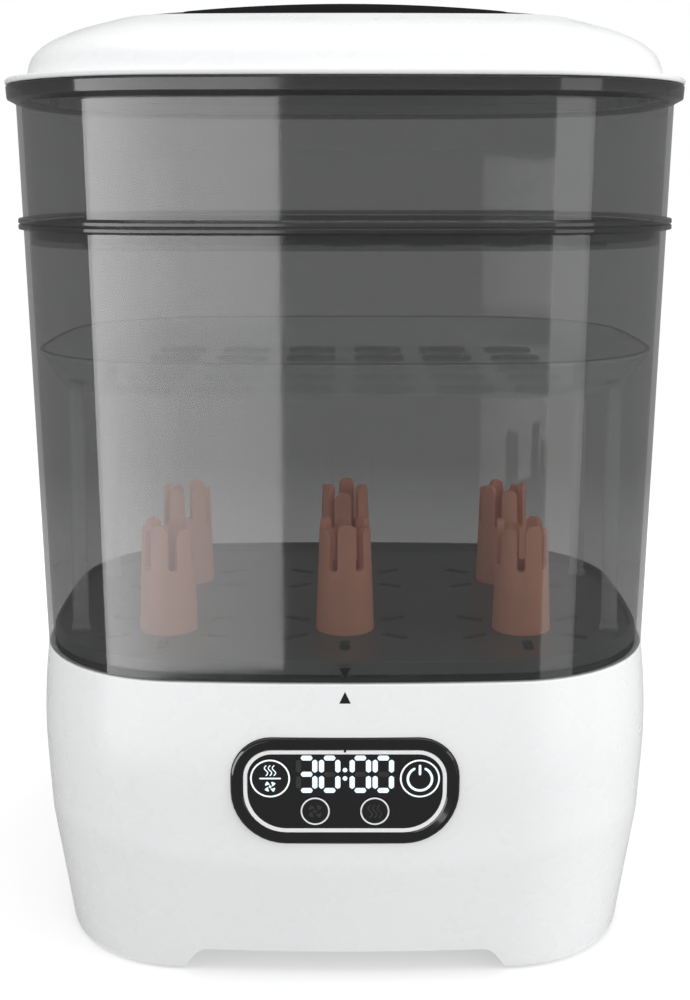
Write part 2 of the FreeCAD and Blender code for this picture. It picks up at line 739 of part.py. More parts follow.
def impeller():
    """A drum of 24 blades between a back plate and a front ring, around the shaft."""
    body = new_body("impeller")
    radius, deep = S.impeller_radius, as_size(22)
    pad(body, circles(body, "XY_Plane", 0, [(0, 0, radius)]), 1.5)
    pad(body, circles(body, "XY_Plane", 0, [(0, 0, 7)]), 14)
    rim = new_sketch(body, "XY_Plane", deep - 2)
    for reach in (radius, radius - 6):
        index = rim.addGeometry(Part.Circle(V(0, 0, 0), V(0, 0, 1), reach.value), False)
        constrain(rim, "Radius", index, size=reach)
        place_point(rim, index, CENTRE, 0, 0)
    blade = pad(body, rectangles(body, "XY_Plane", 1, [(radius - 3, 0, 5, 1.2)]), deep - 2)
    ring_of_blades = body.newObject("PartDesign::PolarPattern", "blades")
    ring_of_blades.Originals = [blade]
    ring_of_blades.Axis = ([f for f in body.Origin.OriginFeatures if f.Role == "Z_Axis"][0], [""])
    ring_of_blades.Angle = 360
    ring_of_blades.Occurrences = 24
    body.Tip = ring_of_blades
    pad(body, rim, 2)
    pocket(body, circles(body, "XY_Plane", 0, [(0, 0, S.shaft_radius)]), 30, up=True)
    body.Placement = FreeCAD.Placement(V(0, 0, 0), FreeCAD.Rotation(V(1, 0, 0), -90))
    bind(body, "Placement.Base.x", S.blower_x)
    bind(body, "Placement.Base.y", S.blower_front + 5)
    bind(body, "Placement.Base.z", S.blower_z)
    return body


def filter_cover():
    """A louvred panel that continues the back of the base."""
    plate = common("cover_form", [base_outer("cover_outer"), filter_opening("cover_block", 0)])
    behind = box("cover_behind", (-100, 60, 0), (100, 92, 130))
    x, z = S.blower_x, S.blower_z
    louvres = [box("louvre", (x - 25, 80, z + k * 8 - 1.6), (x + 25, 110, z + k * 8 + 1.6))
               for k in range(-2, 3)]
    return cut("filter_cover", plate, [behind] + louvres)


def air_filter():
    x, z = S.blower_x, S.blower_z
    return box("air_filter", (x - 30, 87, z - 26), (x + 30, 92, z + 26))


BOARD_X, BOARD_Y = (40, 108), (-38, 40)


def board_corners():
    return [(x, y) for x in (BOARD_X[0] + 5, BOARD_X[1] - 14) for y in (BOARD_Y[0] + 6, BOARD_Y[1] - 6)]


def main_circuit_board():
    """The mains board with its relays, capacitors, coil and terminal block."""
    level = S.cover_level + 2.5 + 8
    top = level + 1.6
    (x0, x1), (y0, y1) = BOARD_X, BOARD_Y
    pieces = [box("board", (x0, y0, level), (x1 - 8, y1, top)),
              box("relay_one", (x0 + 4, y0 + 14, top - 0.1), (x0 + 20, y0 + 34, top + 16)),
              box("relay_two", (x0 + 4, y0 + 38, top - 0.1), (x0 + 20, y0 + 58, top + 16)),
              box("coil", (x0 + 28, y0 + 30, top - 0.1), (x0 + 50, y0 + 52, top + 20)),
              box("terminals", (x0 + 26, y1 - 12, top - 0.1), (x0 + 56, y1 - 3, top + 11)),
              cylinder("capacitor_one", 6, 22, x0 + 36, y0 + 16, top - 0.1),
              cylinder("capacitor_two", 4, 14, x0 + 50, y0 + 14, top - 0.1)]
    return fuse("main_circuit_board", pieces)


def cord_gland():
    """A bushing in the back wall with a flange outside and a nut inside."""
    body = new_body("cord_gland")
    nut, neck, flange, seat, end = 9, 6.8, 10, 8.4, 11
    revolve(body, [(S.cord_bore, 0), (nut, 0), (nut, 2), (neck, 2), (neck, seat), (flange, seat),
                   (flange, end), (S.cord_bore, end)])
    body.Placement = FreeCAD.Placement(V(0, 0, 0), FreeCAD.Rotation(V(1, 0, 0), -90))
    bind(body, "Placement.Base.x", S.gland_x)
    bind(body, "Placement.Base.y", S.gland_seat - 8.4)
    bind(body, "Placement.Base.z", S.gland_z)
    return body


# ---------------------------------------------------------------- control panel

def key_places():
    return {
        "steam_and_dry_button": (-S.big_key_x, S.big_key_z, S.big_key_radius),
        "power_button": (S.big_key_x, S.big_key_z, S.big_key_radius),
        "dry_button": (-S.small_key_x, S.small_key_z, S.small_key_radius),
        "steam_button": (S.small_key_x, S.small_key_z, S.small_key_radius),
    }


def panel_bezel():
    body = panel_plate("panel_bezel", 1.0, 5.0, 0)
    pocket(body, panel_outline(body, 1.0, S.bezel_width), 5.0)
    return body


def panel_trim():
    body = panel_plate("panel_trim", 0.7, 4.7, S.bezel_width)
    pocket(body, panel_outline(body, 0.7, S.bezel_width + S.trim_width), 4.7)
    return body


def panel_window():
    body = panel_plate("panel_window", 0.3, 2.5, S.bezel_width + S.trim_width)
    holes = [(x, z, radius + S.key_gap) for x, z, radius in key_places().values()]
    pocket(body, circles(body, "XZ_Plane", 0.3, holes), 2.5)
    return body


def panel_button(name):
    """A round key with a stem that reaches to its switch."""
    x, z, radius = key_places()[name]
    body = new_body(name)
    pad(body, circles(body, "XZ_Plane", 0.6, [(x, z, radius)]), 2.6, down=True)
    pad(body, circles(body, "XZ_Plane", 0, [(x, z, 2)]), 9.8, down=True)
    return on_panel(body)


def tact_switches():
    pieces = []
    for name, (x, z, radius) in key_places().items():
        body = new_body(name + "_switch")
        pad(body, rectangles(body, "XZ_Plane", -11.6, [(x, z, 6, 6)]), 2.4, down=True)
        pad(body, circles(body, "XZ_Plane", -10 - S.key_travel, [(x, z, 1.6)]), 1.5, down=True)
        pieces.append(on_panel(body))
    return group_of_solids("tact_switches", pieces)


def led_display():
    body = new_body("led_display")
    pad(body, rectangles(body, "XZ_Plane", -2.4, [(0, 7.4, 41, 17)]), 11.6, down=True)
    return on_panel(body)


def display_circuit_board():
    body = new_body("display_circuit_board")
    pad(body, rectangles(body, "XZ_Plane", -14, [(0, 0, 82, 34)]), 1.6, down=True)
    return on_panel(body)


# ---------------------------------------------------------------- chambers and trays

def lower_chamber():
    """A tapering tub with a rim at its mouth, a ledge at its foot and a plug that nests in the base."""
    body = new_body("lower_chamber")
    foot, rim_low, top = S.joint_height, S.lower_rim - S.flange, S.lower_rim
    loft(body, [outline(body, foot, wall_grow(foot)), outline(body, rim_low, wall_grow(rim_low))])
    pad(body, outline(body, rim_low, S.flange_grow), S.flange)
    plug_grow = S.joint_grow - S.shell - S.nest_gap
    pad(body, outline(body, S.deck_top + 2.6, plug_grow), foot - S.deck_top - 2.6 + 1)
    floor = foot + S.wall
    loft(body, [outline(body, floor, wall_grow(floor) - S.wall),
                outline(body, top + 1, wall_grow(top + 1) - S.wall)], cut=True)
    pocket(body, outline(body, S.deck_top, plug_grow - S.wall - 4), 20, up=True)
    return body


def bottle_tray():
    """A vented plate with a low rim; drain slots ray out around each peg."""
    body = new_body("bottle_tray")
    level = S.joint_height + S.wall
    grow = S.joint_grow - S.wall - 0.8
    pad(body, outline(body, level, grow), 6)
    pocket(body, outline(body, level + S.tray_thickness, grow - 1.8), 6, up=True)
    for x, y in peg_centres():
        rays = []
        for k in range(6):
            turn = 60 * k + 30
            reach, angle = 25, math.radians(turn)
            rays.append((x + reach * math.cos(angle), y + reach * math.sin(angle), 13, 4.5, turn))
        pocket(body, slots(body, "XY_Plane", level, rays), 3, up=True)
    return body


def peg_centres():
    return [(column * S.peg_pitch_x, row * S.peg_pitch_y / 2) for row in (-1, 1) for column in (-1, 0, 1)]


def bottle_peg(number, x, y):
    """A tapering tube whose upper half is split into six upright fingers."""
    name = f"bottle_peg_{number}"
    body = new_body(name)
    foot = S.joint_height + S.wall + S.tray_thickness
    radius, tall = S.peg_radius, S.peg_height
    revolve(body, [(radius - 2.6, 0), (radius + 0.8, 0), (radius - 0.9, tall), (radius - 3.6, tall)], x, y)
    slit = pocket(body, rectangles(body, "XY_Plane", tall, [(radius, 0, radius * 1.3, 4.4)]), 20)
    doc.recompute()
    crown = body.newObject("PartDesign::PolarPattern", "crown")
    crown.Originals = [slit]
    crown.Axis = ([f for f in body.Origin.OriginFeatures if f.Role == "Z_Axis"][0], [""])
    crown.Angle = 360
    crown.Occurrences = 6
    body.Tip = crown
    body.Placement = FreeCAD.Placement(V(0, 0, 0), FreeCAD.Rotation(V(0, 0, 1), 17 * number))
    bind(body, "Placement.Base.x", x)
    bind(body, "Placement.Base.y", y)
    bind(body, "Placement.Base.z", foot)
    return name, body


def middle_rack():
    """A shallow slotted dish on four legs that stand on the bottle tray."""
    body = new_body("rack_dish")
    low, rim = S.rack_level, S.rack_rim
    floor_grow, rim_grow = as_size(-9.5), wall_grow(rim) - S.wall - 1.5
    loft(body, [outline(body, low, floor_grow), outline(body, rim, rim_grow)])
    loft(body, [outline(body, low + 2.2, floor_grow - 2), outline(body, rim + 1, rim_grow - 2)], cut=True)
    slot_rows(body, low, 3, 6, 5, 33, 34, 23.5, 14, fewer=0)
    foot = S.joint_height + S.wall + S.tray_thickness
    legs = [cylinder("rack_leg", S.leg_radius, low - foot + 1, x, y, foot)
            for x, y in corners(S.leg_x, S.leg_y)]
    return fuse("middle_rack", [body] + legs)


def upper_chamber():
    """A slotted tub: its skirt nests in the lower chamber, its rim rests on the lower rim."""
    body = new_body("upper_chamber")
    rest = S.lower_rim + S.gap
    rim_top = rest + S.flange
    skirt = wall_grow(S.skirt_level) - S.wall - S.nest_gap
    flare = S.mouth - S.mouth_flange
    pad(body, outline(body, S.skirt_level, skirt), rim_top - S.skirt_level)
    pad(body, outline(body, rest, S.flange_grow), S.flange)
    loft(body, [outline(body, rim_top, wall_grow(rim_top)), outline(body, S.mouth, wall_grow(S.mouth))])
    loft(body, [outline(body, flare - 2, wall_grow(flare - 2)), outline(body, flare, S.mouth_grow - 0.4)])
    loft(body, [outline(body, flare, S.mouth_grow - 0.4), outline(body, S.mouth, S.mouth_grow)])
    floor = S.skirt_level + S.wall
    pocket(body, outline(body, floor, skirt - S.wall), rim_top - floor, up=True)
    loft(body, [outline(body, rim_top - 0.1, wall_grow(rim_top) - S.wall),
                outline(body, S.mouth + 1, wall_grow(S.mouth + 1) - S.wall)], cut=True)
    slot_rows(body, S.skirt_level, 3, 7, 7, 33, 22, 17, 5)
    return body


# ---------------------------------------------------------------- lid

# Height above the rim and outline offset: the dome up to its crown, and the crown above it.
DOME_PROFILE = [(0.0, 2.2), (5.2, 1.2), (9.5, -0.8), (13.7, -5.2), (17.2, -11.5), (20.2, -19.0),
                (22.9, -28.0), (25.2, -36.0)]
CROWN_PROFILE = [(25.2, -36.0), (27.9, -45.0), (30.3, -55.0), (32.2, -64.0)]


def domed(body, profile, inset=0, drop=0, cut_out=False):
    base = S.mouth + S.gap + S.lid_rim
    sections = [outline(body, base + height - drop, grow - inset) for height, grow in profile]
    return loft(body, sections, ruled=False, cut=cut_out)


def lid_shell():
    """A shallow dome on a thin rim, open where the crown sits, with a lip that nests in the mouth."""
    body = new_body("lid_shell")
    base = S.mouth + S.gap
    nest = wall_grow(S.mouth) - S.wall - S.nest_gap
    pad(body, outline(body, base, S.mouth_grow + 0.2), S.lid_rim)
    domed(body, DOME_PROFILE)
    pad(body, outline(body, base - 5, nest), 6)
    pocket(body, outline(body, base - 5, nest - 2.2), 5, up=True)
    domed(body, DOME_PROFILE, S.shell, 2.6, cut_out=True)
    pocket(body, outline(body, base, S.crown_grow - 4), 40, up=True)
    return body


def well_slot(body, level, spare):
    return slots(body, "XY_Plane", level, [(0, 0, S.well_length + spare, S.well_width + spare, 0)])


def lid_crown():
    """The black cap that completes the dome, with a vented finger well let into it."""
    body = new_body("lid_crown")
    domed(body, CROWN_PROFILE)
    domed(body, CROWN_PROFILE, 2.5, 2.2, cut_out=True)
    floor = S.well_floor
    pad(body, well_slot(body, floor - 2, 4), S.crown_top - floor + 1)
    pocket(body, well_slot(body, floor, 0), 30, up=True)
    vents = [(side * x, 0, 20, 3, 90) for side in (-1, 1) for x in (30, 36, 42)]
    pocket(body, slots(body, "XY_Plane", floor - 3, vents), 6, up=True)
    return body


def lid_handle():
    """The bridge across the finger well, with rounded edges and a grooved top."""
    body = new_body("lid_handle")
    low = S.well_floor + 6
    block = pad(body, rectangles(body, "XY_Plane", low, [(0, 0, 42, S.well_width)]), S.lid_top - low)
    doc.recompute()
    rounded = body.newObject("PartDesign::Fillet", "handle_rounding")
    sides = [f"Edge{i}" for i, edge in enumerate(block.Shape.Edges, start=1)
             if edge.BoundBox.YLength > 40 and edge.BoundBox.ZLength < 0.01]
    rounded.Base = (block, sides)
    rounded.Radius = 2.2
    body.Tip = rounded
    grooves = [(x, 0, 28, 2.4, 90) for x in range(-14, 15, 7)]
    pocket(body, slots(body, "XY_Plane", S.lid_top, grooves), 1.5)
    return body


# ---------------------------------------------------------------- the assembly

def build():
    base = (base_shell, base_bottom_cover, rubber_feet, cover_screws, cord_gland, filter_cover, air_filter)
    steam = (heating_pan, pan_gasket, pan_clamp_ring, clamp_screws, heating_element, thermostat, thermal_fuse)
    air = (air_outlet_grille, air_duct, air_heater, blower_housing, blower_inlet_cover, blower_motor,
           motor_shaft, impeller)
    control = (main_circuit_board, panel_bezel, panel_trim, panel_window, led_display,
               display_circuit_board, tact_switches)
    stack = (lower_chamber, bottle_tray, middle_rack, upper_chamber, lid_shell, lid_crown, lid_handle)
    for maker in base + steam + air + control + stack:
        keep(maker.__name__, maker())
    for name in key_places():
        keep(name, panel_button(name))
    for number, (x, y) in enumerate(peg_centres(), start=1):
        name, peg = bottle_peg(number, x, y)
        keep(name, peg)
    doc.recompute()


def check():
    """Stops if any object failed, or a sub-part's shape is empty or not valid."""
    for thing in doc.Objects:
        if "Invalid" in thing.State or "Error" in thing.State:
            raise RuntimeError(f"{thing.Label} failed: {thing.State}")
    for name, thing in SUBPARTS.items():
        if thing.Shape.isNull() or not thing.Shape.isValid() or not thing.Shape.Solids:
            raise RuntimeError(f"{name} has no valid solid")


def write_steps():
    os.makedirs("parts", exist_ok=True)
    for name, thing in SUBPARTS.items():
        thing.Shape.exportStep(f"parts/{name}.step")
        print(f"{name}: {len(thing.Shape.Solids)} solids, {thing.Shape.Volume / 1000:.1f} cm3")


build()
check()
write_steps()
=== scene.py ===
import json
import math
import random

import bmesh
import bpy
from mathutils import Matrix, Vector


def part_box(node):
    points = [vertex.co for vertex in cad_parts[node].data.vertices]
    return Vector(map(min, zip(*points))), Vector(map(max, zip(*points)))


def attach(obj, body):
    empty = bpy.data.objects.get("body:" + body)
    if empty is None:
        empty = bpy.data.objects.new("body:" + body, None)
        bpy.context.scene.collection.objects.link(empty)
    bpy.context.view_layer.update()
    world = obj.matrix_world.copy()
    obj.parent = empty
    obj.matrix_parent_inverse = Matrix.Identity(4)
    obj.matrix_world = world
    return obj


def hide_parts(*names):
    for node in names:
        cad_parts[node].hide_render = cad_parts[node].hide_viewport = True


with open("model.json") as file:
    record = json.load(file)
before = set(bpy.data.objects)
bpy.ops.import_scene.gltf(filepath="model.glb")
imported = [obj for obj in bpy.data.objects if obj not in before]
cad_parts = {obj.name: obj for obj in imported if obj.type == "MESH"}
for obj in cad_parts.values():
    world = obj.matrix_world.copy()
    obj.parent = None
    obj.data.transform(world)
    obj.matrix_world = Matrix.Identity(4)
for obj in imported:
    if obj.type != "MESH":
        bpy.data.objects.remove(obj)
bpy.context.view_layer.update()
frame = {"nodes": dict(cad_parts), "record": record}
for imported in list(bpy.data.materials):
    bpy.data.materials.remove(imported)
MM = 0.001

# ---------------------------------------------------------------- materials


class Paint:
    """A Principled material with helpers for its node tree."""

    def __init__(self, name):
        self.material = bpy.data.materials.new(name)
        self.material.use_nodes = True
        self.tree = self.material.node_tree
        self.shader = self.tree.nodes["Principled BSDF"]
        place = self.tree.nodes.new("ShaderNodeTexCoord")
        self.place = place.outputs["Object"]

    def set(self, **settings):
        for key, value in settings.items():
            self.shader.inputs[key.replace("_", " ")].default_value = value
        return self

    def link(self, source, target):
        self.tree.links.new(source, target)

    def noise(self, scale, detail=2.0, stretch=(1, 1, 1)):
        """Noise of about this many features in a metre, as a value from 0 to 1."""
        mapping = self.tree.nodes.new("ShaderNodeMapping")
        mapping.inputs["Scale"].default_value = stretch
        self.link(self.place, mapping.inputs["Vector"])
        node = self.tree.nodes.new("ShaderNodeTexNoise")
        node.inputs["Scale"].default_value = scale
        node.inputs["Detail"].default_value = detail
        self.link(mapping.outputs["Vector"], node.inputs["Vector"])
        return node.outputs["Fac"]

    def ramp(self, value, stops):
        """Turns a value into a colour by (position, colour) stops."""
        node = self.tree.nodes.new("ShaderNodeValToRGB")
        elements = node.color_ramp.elements
        while len(elements) < len(stops):
            elements.new(0.5)
        for element, (position, colour) in zip(elements, stops):
            element.position = position
            element.color = (*colour, 1)
        self.link(value, node.inputs["Fac"])
        return node.outputs["Color"]

    def spread(self, value, low, high):
        node = self.tree.nodes.new("ShaderNodeMapRange")
        node.inputs["From Min"].default_value = 0.3
        node.inputs["From Max"].default_value = 0.7
        node.inputs["To Min"].default_value = low
        node.inputs["To Max"].default_value = high
        self.link(value, node.inputs["Value"])
        return node.outputs["Result"]

    def mottle(self, colour, change, scale):
        """Base colour that drifts by a small share, as moulded colour does."""
        dark = tuple(c * (1 - change) for c in colour)
        light = tuple(min(1.0, c * (1 + change)) for c in colour)
        tint = self.ramp(self.noise(scale, 3.0), [(0.3, dark), (0.7, light)])
        self.link(tint, self.shader.inputs["Base Color"])
        return self

    def rough(self, low, high, scale, stretch=(1, 1, 1)):
        self.link(self.spread(self.noise(scale, 4.0, stretch), low, high), self.shader.inputs["Roughness"])
        return self

    def bump(self, scale, height, detail=2.0, stretch=(1, 1, 1)):
        """A raised grain of this height in metres."""
        node = self.tree.nodes.new("ShaderNodeBump")
        node.inputs["Distance"].default_value = height
        self.link(self.noise(scale, detail, stretch), node.inputs["Height"])
        self.link(node.outputs["Normal"], self.shader.inputs["Normal"])
        return self


def make_materials():
    white = Paint("white_gloss").mottle((0.84, 0.845, 0.85), 0.012, 9).rough(0.24, 0.32, 60)
    white.bump(260, 0.000012).set(Specular_IOR_Level=0.3)
    grey = Paint("base_grey").mottle((0.56, 0.565, 0.57), 0.03, 30).rough(0.42, 0.55, 300)
    grey.bump(2600, 0.00003)
    smoky = Paint("smoky_clear").mottle((0.040, 0.042, 0.042), 0.06, 6).rough(0.03, 0.06, 40)
    smoky.bump(30, 0.000002).set(Alpha=0.36, IOR=2.1)
    edge = Paint("smoky_edge").mottle((0.036, 0.036, 0.036), 0.06, 6).rough(0.06, 0.10, 40)
    edge.bump(200, 0.000003).set(Alpha=0.8, IOR=1.6)
    clear = Paint("clear").mottle((0.84, 0.86, 0.86), 0.03, 12).rough(0.05, 0.09, 40).bump(30, 0.000004)
    clear.set(Alpha=0.26, IOR=1.6)
    cut = Paint("clear_edge").mottle((0.16, 0.165, 0.165), 0.05, 40).rough(0.10, 0.16, 90).bump(400, 0.000004)
    cut.set(Alpha=0.62)
    coral = Paint("coral").mottle((0.95, 0.44, 0.30), 0.05, 60).rough(0.42, 0.55, 200).bump(1500, 0.00002)
    coral.set(Subsurface_Weight=0.12, Subsurface_Radius=(0.004, 0.0015, 0.001), Subsurface_Scale=1.0)
    black = Paint("black_gloss").mottle((0.009, 0.0085, 0.009), 0.1, 20).rough(0.08, 0.13, 80)
    black.bump(200, 0.000008).set(Coat_Weight=0.6, Coat_Roughness=0.03)
    crown = Paint("crown_black").mottle((0.006, 0.006, 0.007), 0.12, 30).rough(0.26, 0.32, 90)
    crown.bump(500, 0.000008).set(Specular_IOR_Level=0.0, Coat_Weight=0.12, Coat_Roughness=0.25)
    tray = Paint("dark_tray").mottle((0.115, 0.116, 0.117), 0.08, 30).rough(0.30, 0.36, 120)
    tray.bump(1500, 0.000008)
    steel = Paint("steel").mottle((0.56, 0.56, 0.55), 0.05, 40).set(Metallic=1.0)
    steel.rough(0.22, 0.38, 60, (1, 14, 1)).bump(500, 0.00001, 3.0, (1, 12, 1))
    aluminium = Paint("aluminium").mottle((0.68, 0.69, 0.70), 0.04, 60).set(Metallic=1.0)
    aluminium.rough(0.3, 0.45, 500).bump(1200, 0.00002)
    rubber = Paint("rubber_dark").mottle((0.022, 0.022, 0.023), 0.2, 90).rough(0.7, 0.85, 400)
    rubber.bump(1800, 0.00006)
    silicone = Paint("silicone").mottle((0.62, 0.62, 0.60), 0.03, 60).rough(0.5, 0.6, 300).bump(1500, 0.00003)
    inner = Paint("inner_plastic").mottle((0.12, 0.12, 0.125), 0.08, 40).rough(0.45, 0.6, 300)
    inner.bump(2200, 0.00004)
    motor = Paint("motor_can").mottle((0.42, 0.42, 0.43), 0.06, 50).set(Metallic=1.0)
    motor.rough(0.28, 0.42, 90, (1, 1, 10)).bump(900, 0.00001)
    fleece = Paint("filter_fleece").mottle((0.78, 0.79, 0.78), 0.08, 700).rough(0.85, 0.97, 900)
    fleece.bump(1400, 0.0004, 6.0)
    board = Paint("circuit_board").mottle((0.02, 0.13, 0.06), 0.35, 260).rough(0.3, 0.5, 300)
    board.bump(700, 0.00005)
    lit = Paint("lit_segments").mottle((0.55, 0.66, 0.72), 0.03, 300).set(Roughness=0.4)
    lit.set(Emission_Color=(0.80, 0.93, 1.0, 1.0), Emission_Strength=0.62)
    ring = Paint("lit_ring").mottle((0.8, 0.84, 0.85), 0.03, 300).set(Roughness=0.4, Emission_Strength=0.35)
    ring.set(Emission_Color=(0.92, 0.97, 1.0, 1.0))
    dim_ring = Paint("dim_ring").mottle((0.62, 0.64, 0.65), 0.03, 300).set(Roughness=0.4)
    dim_ring.set(Emission_Color=(0.95, 0.97, 1.0, 1.0), Emission_Strength=0.2)
    unlit = Paint("unlit_segments").mottle((0.026, 0.026, 0.027), 0.08, 300).rough(0.3, 0.4, 200)
    paints = [lit, ring, dim_ring, unlit, white, grey, smoky, edge, clear, cut, coral, black, crown, tray,
              steel, aluminium, rubber, silicone, inner, motor, fleece, board]
    return {p.material.name: p.material for p in paints}


MATERIALS = make_materials()


def paint_cad_nodes():
    """Each CAD node takes the material of its slot in the record."""
    for part in frame["record"]["subparts"]:
        mesh = frame["nodes"][part["node"]].data
        mesh.materials.clear()
        mesh.materials.append(MATERIALS[part["material_slot"]])


# ---------------------------------------------------------------- mesh helpers


class Bow:
    """The bowed outline with round corners that the base, the chambers and the lid share."""

    HALF_WIDTH, HALF_DEPTH, SIDE = 134 * MM, 100 * MM, 600 * MM
    CORNER_STEPS, FRONT_STEPS, SIDE_STEPS = 14, 16, 10

    def __init__(self, corner, front):
        f, s = front - self.HALF_DEPTH, self.SIDE - self.HALF_WIDTH
        to_front, to_side, apart = front - corner, self.SIDE - corner, math.hypot(s, f)
        along = (to_front ** 2 - to_side ** 2 + apart ** 2) / (2 * apart)
        across = math.sqrt(to_front ** 2 - along ** 2)
        cx = (-s * along + f * across) / apart
        cy = f - (f * along + s * across) / apart
        turn, lean = math.atan2(cy - f, cx), math.atan2(cy, cx + s)
        half = math.pi
        self.arcs = [
            ((0, f), front, -half - turn, turn, self.FRONT_STEPS),
            ((cx, cy), corner, turn, lean, self.CORNER_STEPS),
            ((-s, 0), self.SIDE, lean, -lean, self.SIDE_STEPS),
            ((cx, -cy), corner, -lean, -turn, self.CORNER_STEPS),
            ((0, -f), front, -turn, half + turn, self.FRONT_STEPS),
            ((-cx, -cy), corner, half + turn, half + lean, self.CORNER_STEPS),
            ((s, 0), self.SIDE, half + lean, half - lean, self.SIDE_STEPS),
            ((-cx, cy), corner, half - lean, half - turn, self.CORNER_STEPS),
        ]
        self.columns = []
        for centre, radius, start, end, steps in self.arcs:
            start, end = self.upwards(start, end)
            for k in range(steps):
                angle = start + (end - start) * k / steps
                self.columns.append((centre, radius, angle))

    @staticmethod
    def upwards(start, end):
        while end < start:
            end += 2 * math.pi
        return start, end

    def reach(self, angle):
        """How far the outline's tangent with this outward direction lies from the middle."""
        for centre, radius, start, end, _ in self.arcs:
            start, end = self.upwards(start, end)
            turned = angle
            while turned < start - 1e-9:
                turned += 2 * math.pi
            if turned <= end + 1e-9:
                return centre[0] * math.cos(angle) + centre[1] * math.sin(angle) + radius
        raise ValueError("the outline has a gap")

    def ring(self, grow, height):
        """One ring of points; grow and height are numbers, or one for each column."""
        points = []
        for i, ((cx, cy), radius, angle) in enumerate(self.columns):
            g = grow[i] if isinstance(grow, list) else grow
            z = height[i] if isinstance(height, list) else height
            points.append((cx + (radius + g) * math.cos(angle), cy + (radius + g) * math.sin(angle), z))
        return points


BODY = Bow(68 * MM, 1000 * MM)
CHIN = Bow(70 * MM, 850 * MM)


def new_object(name, points, faces):
    mesh = bpy.data.meshes.new(name)
    mesh.from_pydata([tuple(p) for p in points], [], faces)
    mesh.update()
    obj = bpy.data.objects.new(name, mesh)
    bpy.context.scene.collection.objects.link(obj)
    return obj


def skin(name, rings, closed=False):
    """A form skinned over rings of equal length: closed on itself, or capped at its first and last ring."""
    count, rows = len(rings[0]), len(rings)
    points = [p for ring in rings for p in ring]
    faces = []
    for row in range(rows if closed else rows - 1):
        low, high = row * count, (row + 1) % rows * count
        for i in range(count):
            j = (i + 1) % count
            faces.append((low + i, low + j, high + j, high + i))
    if not closed:
        faces.append(tuple(range(count - 1, -1, -1)))
        faces.append(tuple((rows - 1) * count + i for i in range(count)))
    return new_object(name, points, faces)


def swept(name, profile, closed=False):
    """A profile of (grow, height) points carried round the body's outline."""
    return skin(name, [BODY.ring(grow, height) for grow, height in profile], closed)


def rounded(points, radius, closed=False, steps=4):
    """A polyline with its corners rounded; radius is one number, or one for each point."""
    count, made = len(points), []
    radii = radius if isinstance(radius, list) else [radius] * count
    for i, here in enumerate(points):
        here = Vector(here)
        if radii[i] == 0 or (not closed and i in (0, count - 1)):
            made.append(tuple(here))
            continue
        before, after = Vector(points[i - 1]), Vector(points[(i + 1) % count])
        back, on = (before - here), (after - here)
        turn = back.angle(on)
        if turn > math.pi - 0.02:
            made.append(tuple(here))
            continue
        run = min(radii[i] / math.tan(turn / 2), 0.48 * back.length, 0.48 * on.length)
        radius_here = run * math.tan(turn / 2)
        inward = (back.normalized() + on.normalized()).normalized()
        middle = here + inward * (radius_here / math.sin(turn / 2))
        first = here + back.normalized() * run - middle
        last = here + on.normalized() * run - middle
        sweep = first.angle(last)
        for k in range(steps + 1):
            share = k / steps
            a, b = math.sin((1 - share) * sweep), math.sin(share * sweep)
            made.append(tuple(middle + (first * a + last * b) / math.sin(sweep)))
    return made


def curve_through(points, steps=5):
    """A smooth line through the points."""
    made = []
    for i in range(len(points) - 1):
        p1, p2 = Vector(points[i]), Vector(points[i + 1])
        p0 = Vector(points[i - 1]) if i else p1 * 2 - p2
        p3 = Vector(points[i + 2]) if i + 2 < len(points) else p2 * 2 - p1
        for k in range(steps):
            t = k / steps
            made.append(tuple(0.5 * (2 * p1 + (p2 - p0) * t + (2 * p0 - 5 * p1 + 4 * p2 - p3) * t ** 2
                                     + (3 * p1 - p0 - 3 * p2 + p3) * t ** 3)))
    made.append(tuple(points[-1]))
    return made


def scaled(points):
    return [(a * MM, b * MM) for a, b in points]


def slot_outline(x, y, length, width, degrees=0, steps=6):
    """The outline of a round-ended slot."""
    turn, reach, radius = math.radians(degrees), (length - width) / 2, width / 2
    points = []
    for side in (0, 1):
        cx = x + reach * math.cos(turn + side * math.pi)
        cy = y + reach * math.sin(turn + side * math.pi)
        for k in range(steps + 1):
            angle = turn - math.pi / 2 + side * math.pi + math.pi * k / steps
            points.append((cx + radius * math.cos(angle), cy + radius * math.sin(angle)))
    return points


def circle_outline(x, y, radius, steps=48):
    return [(x + radius * math.cos(2 * math.pi * k / steps), y + radius * math.sin(2 * math.pi * k / steps))
            for k in range(steps)]


def upright(x, y, w):
    return x, y, w


def along_y(x, z, w):
    return x, w, z


def prisms(name, outlines, low, high, place=upright):
    """Closed prisms over flat outlines, from low to high along the direction that place gives."""
    points, faces = [], []
    for outline in outlines:
        start, count = len(points), len(outline)
        points += [place(a, b, low) for a, b in outline] + [place(a, b, high) for a, b in outline]
        faces.append(tuple(start + i for i in range(count - 1, -1, -1)))
        faces.append(tuple(start + count + i for i in range(count)))
        for i in range(count):
            j = (i + 1) % count
            faces.append((start + i, start + j, start + count + j, start + count + i))
    obj = new_object(name, points, faces)
    face_outwards(obj)
    return obj


def face_outwards(obj):
    shape = bmesh.new()
    shape.from_mesh(obj.data)
    bmesh.ops.recalc_face_normals(shape, faces=shape.faces)
    shape.to_mesh(obj.data)
    shape.free()


def bake_modifiers(obj):
    """Makes what the modifiers show the object's own mesh."""
    graph = bpy.context.evaluated_depsgraph_get()
    made = bpy.data.meshes.new_from_object(obj.evaluated_get(graph))
    obj.modifiers.clear()
    old, obj.data = obj.data, made
    bpy.data.meshes.remove(old)


